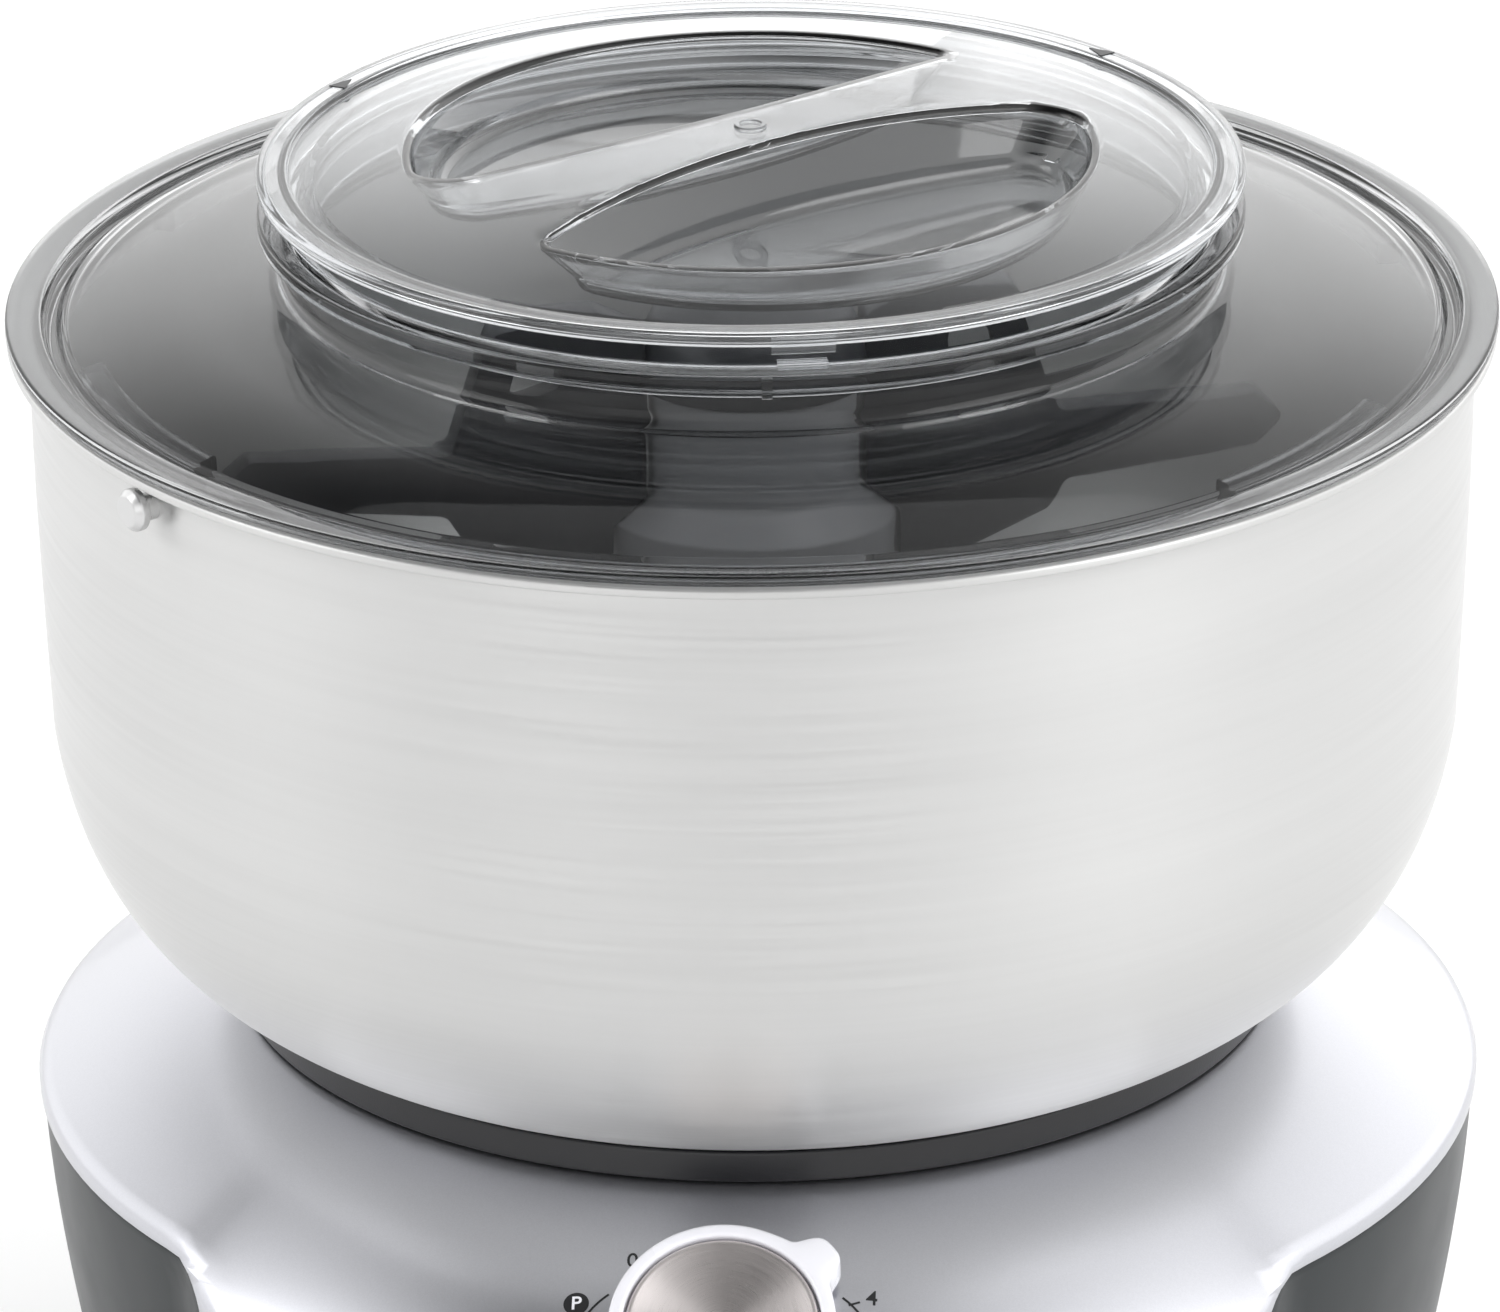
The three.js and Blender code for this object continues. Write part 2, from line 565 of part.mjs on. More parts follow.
// ---------------------------------------------------------------- lid and cap
function buildLid() {
  const z = LID_Z;
  const upper = [[LID_R, z - 1.6], [LID_R, z], [133.4, z], [131, z - 2], [118, z + 2.4],
    [88, z + 7], [87.2, COLLAR_Z - COLLAR_H - 0.4], [COLLAR_R, COLLAR_Z - COLLAR_H], [COLLAR_R, COLLAR_Z]];
  const lower = [[NECK_R, COLLAR_Z], [NECK_R, z + 5.2], [118, z + 2.4 - LID_T],
    [129.6, z - 5], [130, z - 9], [131.8, z - 9], [132.4, z - 1.7], [LID_R, z - 1.6]];
  add('splash_lid', lathe([...upper, ...lower], 40), clear);
}

// Where two circles cross, on the side of larger x if side is 1, of smaller x if it is -1.
function circleMeet(a, ra, b, rb, side) {
  const gap = b.clone().sub(a);
  const length = gap.length();
  const along = (ra ** 2 - rb ** 2 + length ** 2) / (2 * length);
  const aside = Math.sqrt(ra ** 2 - along ** 2);
  const unit = gap.divideScalar(length);
  const normal = v2(-unit.y, unit.x).multiplyScalar(side * Math.sign(-unit.y) * aside);
  return a.clone().addScaledVector(unit, along).add(normal);
}

// Plan of one finger well: two arcs joined by a blunt and a pointed tip, drawn in by the given inset.
function wellShape(inset) {
  const centre = v2(0, 0);
  const arcCentre = v2(WELL_ARC_X, WELL_ARC_Y);
  const outer = WELL_R - inset;
  const inner = WELL_ARC_R - inset;
  const sharp = WELL_TIP_SHARP - inset;
  const blunt = WELL_TIP_ROUND - inset;
  const heading = (from, to) => Math.atan2(to.y - from.y, to.x - from.x);
  const right = circleMeet(centre, outer - sharp, arcCentre, inner - sharp, 1);
  const left = circleMeet(centre, outer - blunt, arcCentre, inner - blunt, -1);
  const shape = new THREE.Shape();
  shape.absarc(0, 0, outer, heading(centre, right), heading(centre, left), false);
  shape.absarc(left.x, left.y, blunt, heading(centre, left), heading(arcCentre, left), false);
  shape.absarc(WELL_ARC_X, WELL_ARC_Y, inner, heading(arcCentre, left), heading(arcCentre, right), false);
  shape.absarc(right.x, right.y, sharp, heading(arcCentre, right), heading(centre, right), false);
  return shape;
}

// A well's body, smaller at the floor than at the top.
function wellBody(inset, z0, z1) {
  const geometry = prism(wellShape(inset), z0, z1, 4);
  const position = geometry.attributes.position;
  const mix = THREE.MathUtils.lerp;
  for (let i = 0; i < position.count; i++) {
    if (position.getZ(i) > (z0 + z1) / 2) continue;
    position.setX(i, mix(WELL_MIDDLE_X, position.getX(i), WELL_DRAFT));
    position.setY(i, mix(WELL_MIDDLE_Y, position.getY(i), WELL_DRAFT));
  }
  return geometry;
}

function buildCap() {
  const crown = (r) => CAP_EDGE_Z + CAP_CROWN * (1 - (r / CAP_EDGE_R) ** CAP_CROWN_POWER);
  const face = [64, 34, 0].map((r) => [r, crown(r)]);
  const under = [0, 34, 64].map((r) => [r, crown(r) - LID_T]);
  const below = CAP_EDGE_Z - LID_T;
  const plugEnd = COLLAR_Z - 7;
  const skirtEnd = COLLAR_Z + GAP;
  const rimLow = CAP_RIM_Z - CAP_RIM_H;
  const profile = [...under, [82, below], [82, plugEnd], [84, plugEnd], [84, below], [86.4, below],
    [86.4, skirtEnd], [88.2, skirtEnd], [88.2, rimLow], [COLLAR_R, rimLow], [COLLAR_R, CAP_RIM_Z - 1.2],
    [90.8, CAP_RIM_Z], [86.8, CAP_RIM_Z], [CAP_EDGE_R, CAP_EDGE_Z], ...face];
  const disc = lathe(profile, 36);
  const high = CAP_EDGE_Z + CAP_CROWN + 4;
  const inside = [64, 34, 0].map((r) => [r, crown(r) - 0.5]);
  const hull = lathe([[0, WELL_FLOOR_Z - 4], [84, WELL_FLOOR_Z - 4], [84, CAP_EDGE_Z], ...inside], 36);
  const cup = wellBody(-LID_T, WELL_FLOOR_Z - LID_T, high);
  const walls = common(hull, join(cup, cup.clone().rotateZ(Math.PI)));
  const hollow = wellBody(0, WELL_FLOOR_Z, high);
  const cap = cut(join(disc, walls), hollow, hollow.clone().rotateZ(Math.PI));
  add('filler_cap', cap.rotateZ(rad(LID_TURN)), clear);
}

// ---------------------------------------------------------------- assembly
buildShells();
buildPan();
buildFastenings();
buildGland();
buildChassis();
buildMainDrive();
buildMotor();
buildBelt();
buildControls();
buildBowl();
buildTool();
buildLid();
buildCap();

export default model;
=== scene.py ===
"""The looks of a bottom-drive kitchen machine: pearl base with a dial, steel bowl, smoked lid, clear cap.

Lengths are millimetres from the drive axis (x right, y away from the front, z up from the table) until a mesh
is finished; mesh_piece() turns them into metres in the shared frame.
"""
import json
import math

import bmesh
import bpy
from mathutils import Matrix, Vector
from mathutils.geometry import delaunay_2d_cdt


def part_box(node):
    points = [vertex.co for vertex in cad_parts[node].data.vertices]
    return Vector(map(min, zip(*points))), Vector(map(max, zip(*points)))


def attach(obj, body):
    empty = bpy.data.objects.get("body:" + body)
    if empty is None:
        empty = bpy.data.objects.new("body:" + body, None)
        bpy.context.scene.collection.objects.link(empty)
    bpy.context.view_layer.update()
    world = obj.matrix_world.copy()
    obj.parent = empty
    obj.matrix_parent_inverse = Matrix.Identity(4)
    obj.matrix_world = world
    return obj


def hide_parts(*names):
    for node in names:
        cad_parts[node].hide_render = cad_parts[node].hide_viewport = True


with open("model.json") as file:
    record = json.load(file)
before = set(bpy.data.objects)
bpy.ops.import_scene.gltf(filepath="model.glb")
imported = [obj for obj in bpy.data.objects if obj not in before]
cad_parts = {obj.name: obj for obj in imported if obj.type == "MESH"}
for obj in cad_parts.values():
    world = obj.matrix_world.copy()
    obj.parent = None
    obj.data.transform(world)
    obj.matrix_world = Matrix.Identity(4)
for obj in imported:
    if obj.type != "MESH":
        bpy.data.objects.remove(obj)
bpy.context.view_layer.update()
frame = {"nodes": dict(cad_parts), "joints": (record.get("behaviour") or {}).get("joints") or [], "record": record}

MM = 0.001


# ---------------------------------------------------------------- anchors read from the frame
def low(node):
    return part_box(node)[0] / MM


def high(node):
    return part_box(node)[1] / MM


def joint(name):
    return next(j for j in frame["joints"] if j["name"] == name)


AXIS_Y = (low("bowl_shell").y + high("bowl_shell").y) / 2
BASE_BOTTOM_Z = low("top_shell").z
DECK_Z = high("top_shell").z
EDGE_R = high("top_shell").x
BOWL_FLOOR_Z = low("bowl_shell").z
LID_R = high("splash_lid").x
COLLAR_Z = high("splash_lid").z
LID_Z = COLLAR_Z - 19                   # top of the lid's rim
CAP_RIM_Z = LID_Z + 27.2
CAP_EDGE_Z = CAP_RIM_Z - 1              # where the cap's domed middle meets its raised rim
CAP_TOP_Z = high("filler_cap").z
POST_TOP_Z = high("bowl_post").z
DIAL_AT = Vector(joint("dial_turn")["pos_m"]) / MM - Vector((0, AXIS_Y, 0))
DIAL_UP = Vector(joint("dial_turn")["axis"])

# shapes that go with those anchors
DECK_R = 100
SEAT_R = 84
SEAT_Z = DECK_Z - 5
EDGE_Z = 130.2                          # level of the deck's outer edge
LIP_Z = EDGE_Z - 3.2                    # lower edge of the deck's lip
SIDE_BOTTOM_R = 116
NOSE_R = 112                            # plan radius of the front apron
NOSE_Y = -50                            # its centre
NOSE_SHOULDER_Z = 95
NOSE_TAPER = 10
APRON_HALF = math.radians(43.6)         # half angle of the apron between the side panels
APRON_CORNER = 10
PANEL_GAP = 0.55
PANEL_INSET = 0.7
SHELL_WALL = 2.8
DIAL_R = 20.8
DISC_R = 17.6
BOWL_R = 135.7
BOWL_LOW_R = 133.6
BOWL_LOW_Z = 203
BOWL_WALL = 1.6
BOWL_BORE_R = 19.3                      # hole in the bowl's floor, under the post
FOOT_R = 100.4                          # outer radius of the foot ring
SPINDLE_HOLE_R = 22.3                   # hole in the middle of the deck
LID_TURN = math.radians(2.9)            # the lid, cap and studs stand turned from the front
COLLAR_R = 92.4
NECK_R = 84.6
COLLAR_H = 3.1                          # depth of the collar's edge
CAP_EDGE_R = 86
CAP_CROWN_POWER = 2.3                   # how flat the dome is in the middle
WELL_R = 64.7                           # outer arc of a finger well
WELL_ARC_R = 195.5                      # inner arc of a finger well
WELL_ARC = Vector((-119.7, 164.4))      # centre of that arc
WELL_TIP_ROUND = 10
WELL_TIP_SHARP = 4
WELL_FLOOR_Z = LID_Z + 20
WELL_DRAFT = 0.9                        # size of a well's floor against its mouth
WELL_MIDDLE = Vector((-25, 33))
POST_R = 15
ARM_TURN = math.radians(14)             # direction of the tool's right arm, from +X
ARM_T = 7                               # thickness of the tool's arms
SLEEVE_R = 19.8                         # the light sleeve over the post
SLEEVE_LOW_R = 27                       # its wide lower part
SLEEVE_STEP_Z = 238                     # where that part ends
SCALE_START = 63.5                      # the printed scale's line, in degrees from the top of the dial
SCALE_END = 176
TURNS = 160                             # columns of a turned piece

# studio: brightness of the surroundings by azimuth in degrees (0 in front, growing to the right)
AZIMUTH_LEVELS = [(-180, 1.9), (-158, 1.45), (-130, 1.5), (-100, 1.35), (-58, 0.75), (-22, 1.6), (0, 1.2),
                  (22, 1.15), (44, 1.75), (64, 1.15), (135, 1.15), (160, 1.3), (180, 1.9)]
# and of the ceiling, by how far a direction leans to the right
CEILING_LEVELS = [(-0.7, 1.2), (-0.3, 0.04), (-0.08, 0.12), (0.14, 1.6), (0.7, 1.6)]


# ---------------------------------------------------------------- small shape helpers
def mix(a, b, t):
    return a + (b - a) * t


def bezier(a, b, c, d, steps):
    """Points of a cubic Bezier curve, ends included."""
    a, b, c, d = Vector(a), Vector(b), Vector(c), Vector(d)
    curve = []
    for i in range(steps + 1):
        t = i / steps
        u = 1 - t
        curve.append(a * u ** 3 + b * 3 * u * u * t + c * 3 * u * t * t + d * t ** 3)
    return curve


def rounded(profile, steps=5):
    """A closed profile of (r, z) or (r, z, radius) points; a corner with a radius is rounded to it."""
    points = []
    for i, (r, z, *radius) in enumerate(profile):
        here = Vector((r, z))
        if not radius:
            points.append(here)
            continue
        back = Vector(profile[i - 1][:2]) - here
        ahead = Vector(profile[(i + 1) % len(profile)][:2]) - here
        reach = radius[0] / math.tan(back.angle(ahead) / 2)
        start = here + back.normalized() * min(reach, 0.49 * back.length)
        end = here + ahead.normalized() * min(reach, 0.49 * ahead.length)
        for k in range(steps + 1):
            t = k / steps
            points.append(start * (1 - t) ** 2 + here * 2 * t * (1 - t) + end * t * t)
    return points


def inside(point, outline):
    """Whether a point lies inside a closed outline."""
    hit = False
    for a, b in zip(outline, outline[1:] + outline[:1]):
        if (a.y > point.y) != (b.y > point.y):
            if point.x < a.x + (b.x - a.x) * (point.y - a.y) / (b.y - a.y):
                hit = not hit
    return hit


def polar(r, angle, z=0.0):
    """A point at an angle measured from straight ahead (-Y), growing towards +X."""
    return Vector((r * math.sin(angle), -r * math.cos(angle), z))


def bridge(bm, rows, wrap=True, ring=False):
    """Faces between neighbouring rows of vertices; ring joins the last row to the first too."""
    pairs = list(zip(rows, rows[1:]))
    if ring:
        pairs.append((rows[-1], rows[0]))
    for a, b in pairs:
        count = max(len(a), len(b))
        for i in range(count if wrap else count - 1):
            j = (i + 1) % count
            corners = [a[i % len(a)], a[j % len(a)], b[j % len(b)], b[i % len(b)]]
            distinct = list(dict.fromkeys(corners))
            if len(distinct) > 2:
                bm.faces.new(distinct)


def turned(profile, segments=TURNS, warp=None, place=None):
    """A bmesh turned about the z axis from a closed profile. A point on the axis becomes one vertex."""
    bm = bmesh.new()
    rows = []
    for r, z in profile:
        count = 1 if r < 1e-6 else segments
        row = []
        for i in range(count):
            angle = 2 * math.pi * i / segments
            radius = warp(r, z, angle) if warp else r
            row.append(bm.verts.new(polar(radius, angle, z)))
        rows.append(row)
    bridge(bm, rows, ring=True)
    if place:
        bm.transform(place)
    return bm


def sector(profile, start, end, steps=24):
    """A closed bar with the given cross-section, bent about the z axis between two angles."""
    bm = bmesh.new()
    rows = []
    for i in range(steps + 1):
        angle = mix(start, end, i / steps)
        rows.append([bm.verts.new(polar(r, angle, z)) for r, z in profile])
    bridge(bm, rows)
    bm.faces.new(rows[0])
    bm.faces.new(rows[-1])
    return bm


def merged(*parts):
    """One bmesh holding all the given ones."""
    whole = parts[0]
    for part in parts[1:]:
        mesh = bpy.data.meshes.new("part")
        part.to_mesh(mesh)
        part.free()
        whole.from_mesh(mesh)
        bpy.data.meshes.remove(mesh)
    return whole


def applied(piece):
    """Bakes a piece's modifiers into its mesh."""
    scene_graph = bpy.context.evaluated_depsgraph_get()
    mesh = bpy.data.meshes.new_from_object(piece.evaluated_get(scene_graph))
    old = piece.data
    piece.modifiers.clear()
    piece.data = mesh
    bpy.data.meshes.remove(old)
    return piece


def mesh_piece(name, bm, look, body, nodes=(), sharp=35, thickness=0.0, bevel=0.0, outward=True):
    """Turns a bmesh in millimetres into a finished piece of the machine."""
    if outward:
        bmesh.ops.recalc_face_normals(bm, faces=bm.faces)
    mesh = bpy.data.meshes.new(name)
    bm.to_mesh(mesh)
    bm.free()
    mesh.transform(Matrix.Translation((0, AXIS_Y * MM, 0)) @ Matrix.Scale(MM, 4))
    piece = bpy.data.objects.new(name, mesh)
    bpy.context.scene.collection.objects.link(piece)
    if thickness:
        solidify = piece.modifiers.new("wall", "SOLIDIFY")
        solidify.thickness = thickness * MM
        solidify.offset = -1
        solidify.use_even_offset = True
    if bevel:
        edges = piece.modifiers.new("edges", "BEVEL")
        edges.width = bevel * MM
        edges.segments = 3
        edges.limit_method = "ANGLE"
        edges.angle_limit = math.radians(50)
    if thickness or bevel:
        applied(piece)
    piece.data.shade_smooth()
    piece.data.set_sharp_from_angle(angle=math.radians(sharp))
    piece.data.materials.clear()
    piece.data.materials.append(look)
    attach(piece, body)
    if nodes:
        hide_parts(*nodes)
    return piece


# ---------------------------------------------------------------- materials
class Finish:
    """A node material being put together around one Principled shader."""

    def __init__(self, name, **sockets):
        self.material = bpy.data.materials.new(name)
        self.material.use_nodes = True
        self.tree = self.material.node_tree
        self.shader = self.tree.nodes["Principled BSDF"]
        self.coords = self.node("ShaderNodeTexCoord").outputs["Object"]
        for socket, value in sockets.items():
            self.shader.inputs[socket.replace("_", " ")].default_value = value

    def node(self, kind, inputs=None, **settings):
        node = self.tree.nodes.new(kind)
        for setting, value in settings.items():
            setattr(node, setting, value)
        for socket, value in (inputs or {}).items():
            if isinstance(value, bpy.types.NodeSocket):
                self.tree.links.new(value, node.inputs[socket])
            else:
                node.inputs[socket].default_value = value
        return node

    def math(self, operation, a, b=0.0):
        return self.node("ShaderNodeMath", {0: a, 1: b}, operation=operation).outputs[0]

    def noise(self, scale, detail=2.0, vector=None):
        inputs = {"Vector": vector or self.coords, "Scale": scale, "Detail": detail}
        return self.node("ShaderNodeTexNoise", inputs).outputs["Fac"]

    def between(self, factor, start, end, low_value, high_value):
        """factor from start to end turned into a value from low_value to high_value."""
        inputs = {0: factor, 1: start, 2: end, 3: low_value, 4: high_value}
        return self.node("ShaderNodeMapRange", inputs).outputs[0]

    def blend(self, factor, first, second):
        node = self.node("ShaderNodeMix", {0: factor, 6: (*first, 1), 7: (*second, 1)}, data_type="RGBA")
        return node.outputs[2]

    def join(self, socket, output):
        self.tree.links.new(output, self.shader.inputs[socket])

    def bump(self, height, depth, strength=1.0):
        inputs = {"Height": height, "Distance": depth * MM, "Strength": strength}
        self.join("Normal", self.node("ShaderNodeBump", inputs).outputs["Normal"])

    def swirl(self, along, across):
        """Coordinates for lines that run round the drive axis: long along them, fine across them."""
        x, y, z = self.node("ShaderNodeSeparateXYZ", {0: self.coords}).outputs
        away = self.math("SUBTRACT", y, AXIS_Y * MM)
        squares = self.math("ADD", self.math("MULTIPLY", x, x), self.math("MULTIPLY", away, away))
        reach = self.math("ADD", self.math("SQRT", squares), z)
        inputs = {"X": self.math("MULTIPLY", x, along), "Y": self.math("MULTIPLY", away, along),
                  "Z": self.math("MULTIPLY", reach, across)}
        return self.node("ShaderNodeCombineXYZ", inputs).outputs[0]


def moulded(name, colour, roughness, grain=0.02, spread=0.12, **sockets):
    """Moulded plastic or rubber: a fine texture, cloudy colour and slightly uneven gloss."""
    finish = Finish(name, **sockets)
    cloud = finish.noise(60, 3)
    fine = finish.noise(2600, 2)
    darker = [c * (1 - spread) for c in colour]
    lighter = [min(1, c * (1 + spread)) for c in colour]
    finish.join("Base Color", finish.blend(finish.between(cloud, 0.35, 0.65, 0, 1), darker, lighter))
    finish.join("Roughness", finish.between(cloud, 0.3, 0.7, roughness * 0.92, roughness * 1.08))
    finish.bump(fine, grain)
    return finish.material


def pearl_paint(name, colour, roughness=0.3):
    """Metallic paint: small bright flakes in a clear coat."""
    finish = Finish(name, Metallic=0.96, Coat_Weight=0.35, Coat_Roughness=0.1)
    flakes = finish.node("ShaderNodeTexVoronoi", {"Vector": finish.coords, "Scale": 5200}).outputs["Color"]
    flake = finish.node("ShaderNodeSeparateXYZ", {0: flakes}).outputs[0]
    darker = [c * 0.97 for c in colour]
    lighter = [min(1, c * 1.03) for c in colour]
    finish.join("Base Color", finish.blend(flake, darker, lighter))
    finish.join("Roughness", finish.between(flake, 0, 1, roughness * 0.95, roughness * 1.05))
    finish.bump(finish.noise(2600, 1), 0.001)
    return finish.material


def brushed_steel(name, colour, roughness, anisotropy=0.85):
    """Steel brushed round the drive axis, so that its reflections spread up and down."""
    finish = Finish(name, Metallic=1, Anisotropic=anisotropy, Anisotropic_Rotation=0.25)
    lines = finish.noise(1, 4, finish.swirl(14, 900))
    broad = finish.noise(1, 2, finish.swirl(6, 90))
    darker = [c * 0.97 for c in colour]
    finish.join("Base Color", finish.blend(finish.between(broad, 0.3, 0.7, 0, 1), darker, colour))
    finish.join("Roughness", finish.between(lines, 0.25, 0.75, roughness * 0.85, roughness * 1.15))
    finish.bump(lines, 0.003)
    finish.join("Tangent", finish.node("ShaderNodeTangent", direction_type="RADIAL", axis="Z").outputs[0])
    return finish.material


def machined(name, colour, roughness):
    """Plain machined or plated metal: fine grain and faint stains."""
    finish = Finish(name, Metallic=1)
    stain = finish.noise(45, 4)
    darker = [c * 0.85 for c in colour]
    finish.join("Base Color", finish.blend(finish.between(stain, 0.35, 0.7, 0, 1), darker, colour))
    finish.join("Roughness", finish.between(stain, 0.3, 0.7, roughness * 0.85, roughness * 1.2))
    finish.bump(finish.noise(3200, 2), 0.01)
    return finish.material


def spun_disc(name, colour, roughness):
    """Spun metal: grooves round the piece's own middle, which its UV map runs along."""
    finish = Finish(name, Metallic=1, Anisotropic=0.85, Anisotropic_Rotation=0.25)
    uv = finish.node("ShaderNodeUVMap", uv_map="spin").outputs[0]
    across = finish.node("ShaderNodeVectorMath", {0: uv, 1: (6, 420, 1)}, operation="MULTIPLY").outputs[0]
    grooves = finish.noise(1, 2, across)
    darker = [c * 0.82 for c in colour]
    finish.join("Base Color", finish.blend(finish.between(grooves, 0.3, 0.7, 0, 1), darker, colour))
    finish.join("Roughness", finish.between(grooves, 0.3, 0.7, roughness * 0.9, roughness * 1.15))
    finish.bump(grooves, 0.01)
    tangent = finish.node("ShaderNodeTangent", direction_type="UV_MAP", uv_map="spin").outputs[0]
    finish.join("Tangent", tangent)
    return finish.material


def clear_plastic(name, tint, roughness=0.03, ior=1.49):
    """Clear moulded plastic with faint flow lines; shadow rays pass, tinted, so lamps reach what is below.

    An ior below the real 1.49 keeps upright walls from mirroring the bright floor.
    """
    finish = Finish(name, Transmission_Weight=1.0, IOR=ior)
    cloud = finish.noise(25, 3)
    darker = [c * 0.97 for c in tint]
    finish.join("Base Color", finish.blend(cloud, darker, tint))
    finish.join("Roughness", finish.between(finish.noise(140, 3), 0.3, 0.7, roughness * 0.5, roughness * 1.5))
    finish.bump(finish.noise(70, 2), 0.01)
    shadow = finish.node("ShaderNodeLightPath").outputs["Is Shadow Ray"]
    clear = finish.node("ShaderNodeBsdfTransparent", {"Color": (*tint, 1)})
    both = finish.node("ShaderNodeMixShader", {0: shadow, 1: finish.shader.outputs[0], 2: clear.outputs[0]})
    output = finish.tree.nodes["Material Output"]
    finish.tree.links.new(both.outputs[0], output.inputs["Surface"])
    return finish.material


LOOKS = {
    "silver_shell": pearl_paint("pearl_silver", (0.57, 0.575, 0.61)),
    "slate_panel": moulded("slate_satin", (0.017, 0.021, 0.023), 0.36, 0.006, 0.05,
                           Specular_IOR_Level=0.36),
    "black_plastic": moulded("black_satin", (0.010, 0.010, 0.012), 0.34),
    "rubber": moulded("black_rubber", (0.016, 0.016, 0.016), 0.72, 0.05),
    "zinc": machined("plated_zinc", (0.60, 0.61, 0.62), 0.36),
    "steel": machined("machined_steel", (0.66, 0.66, 0.66), 0.26),
    "bowl_steel": brushed_steel("brushed_stainless", (0.655, 0.655, 0.65), 0.40),
    "copper": machined("copper_winding", (0.50, 0.21, 0.12), 0.42),
    "board_green": moulded("board_green", (0.03, 0.12, 0.05), 0.5),
    "dial_white": moulded("dial_pearl", (0.90, 0.90, 0.95), 0.26, 0.006, 0.02, Coat_Weight=0.4),
    "spun_metal": spun_disc("spun_disc", (0.78, 0.73, 0.72), 0.30),
    "tool_grey": moulded("tool_grey", (0.045, 0.046, 0.050), 0.38),
    "tool_light": moulded("tool_light_grey", (0.40, 0.405, 0.415), 0.34, 0.01, 0.03),
    "clear_lid": clear_plastic("smoked_lid", (0.52, 0.525, 0.53), ior=1.36),
    "clear_cap": clear_plastic("clear_cap", (0.82, 0.83, 0.84)),
    "clear_inner": clear_plastic("clear_cap_inner", (0.76, 0.77, 0.78), ior=1.12),
}


# ---------------------------------------------------------------- base
def plan_radius(angle):
    """Widest radius of the base at an angle from straight ahead."""
    away = abs(math.remainder(angle, 2 * math.pi))
    if away > math.pi / 2:
        return EDGE_R
    offset = NOSE_Y * math.sin(away)
    return max(EDGE_R, -NOSE_Y * math.cos(away) + math.sqrt(NOSE_R ** 2 - offset ** 2))


def skin_profile(angle):
    """The base's outer face at an angle, from the deck's flat ring down to the bottom edge."""
    out = plan_radius(angle)
    nose = (out - EDGE_R) / (NOSE_R - NOSE_Y - EDGE_R)
    shoulder = mix(EDGE_Z, NOSE_SHOULDER_Z, nose)
    slope = bezier(
        (DECK_R, DECK_Z),
        (mix(113, 122, nose), mix(143.8, 141, nose)),
        (mix(126, 158, nose), mix(137.7, 118, nose)),
        (out, shoulder), 30)
    taper = mix(EDGE_R - SIDE_BOTTOM_R, NOSE_TAPER, math.sqrt(nose))
    wall = []
    for k in range(1, 25):
        drop = k / 24
        wall.append(Vector((out - taper * drop ** 1.6, mix(shoulder, BASE_BOTTOM_Z, drop))))
    return slope + wall


def radius_at(profile, z):
    """Radius of a falling profile at level z."""
    for a, b in zip(profile, profile[1:]):
        if b.y <= z:
            return mix(a.x, b.x, (a.y - z) / (a.y - b.y))
    return profile[-1].x


def upper_part(profile, z, steps):
    """A falling profile above level z, as evenly spaced points."""
    kept = [p for p in profile if p.y > z + 0.01]
    kept.append(Vector((radius_at(profile, z), z)))
    lengths = [0.0]
    for a, b in zip(kept, kept[1:]):
        lengths.append(lengths[-1] + (b - a).length)
    points = []
    k = 0
    for i in range(steps + 1):
        target = lengths[-1] * i / steps
        while k < len(lengths) - 2 and lengths[k + 1] < target:
            k += 1
        points.append(kept[k].lerp(kept[k + 1], (target - lengths[k]) / (lengths[k + 1] - lengths[k])))
    return points


def apron_half(z, gap=0.0):
    """Half angle of the apron at level z: its edge flares out to meet the deck's lip."""
    rise = max(0.0, min(APRON_CORNER, z - (LIP_Z - APRON_CORNER)))
    flare = APRON_CORNER - math.sqrt(APRON_CORNER ** 2 - rise ** 2)
    return APRON_HALF + (flare + gap) / EDGE_R


def skin_point(angle, z, inset=0.0):
    return polar(radius_at(skin_profile(angle), z) - inset, angle, z)


def build_top_shell():
    """Deck and front apron in one moulding."""
    half = apron_half(LIP_Z)
    across = 56
    around = 130
    apron = [mix(-half, half, i / across) for i in range(across + 1)]
    rest = [mix(half, 2 * math.pi - half, i / around) for i in range(1, around)]
    middle = rounded([(SPINDLE_HOLE_R, SEAT_Z), (SEAT_R, SEAT_Z, 1.2), (SEAT_R + 2, DECK_Z, 1.2),
                      (DECK_R, DECK_Z)])[:-1]
    bm = bmesh.new()
    columns = []
    for angle in apron + rest:
        points = middle + upper_part(skin_profile(angle), LIP_Z, 22)
        columns.append([bm.verts.new(polar(p.x, angle, p.y)) for p in points])
    rows = [list(row) for row in zip(*columns)]
    bridge(bm, rows)
    edge = rows[-1][:across + 1]
    levels = 44
    front = [edge]
    for k in range(1, levels + 1):
        z = mix(LIP_Z, BASE_BOTTOM_Z, (k / levels) ** 1.25)
        reach = apron_half(z)
        front.append([bm.verts.new(skin_point(angle / half * reach, z)) for angle in apron])
    bridge(bm, front, wrap=False)
    bmesh.ops.recalc_face_normals(bm, faces=bm.faces)
    bm.faces.ensure_lookup_table()
    if bm.faces[TURNS].normal.z < 0:
        bmesh.ops.reverse_faces(bm, faces=bm.faces)
    mesh_piece("deck_and_apron", bm, LOOKS["silver_shell"], "base", ["top_shell"],
               thickness=SHELL_WALL, bevel=0.7, outward=False)


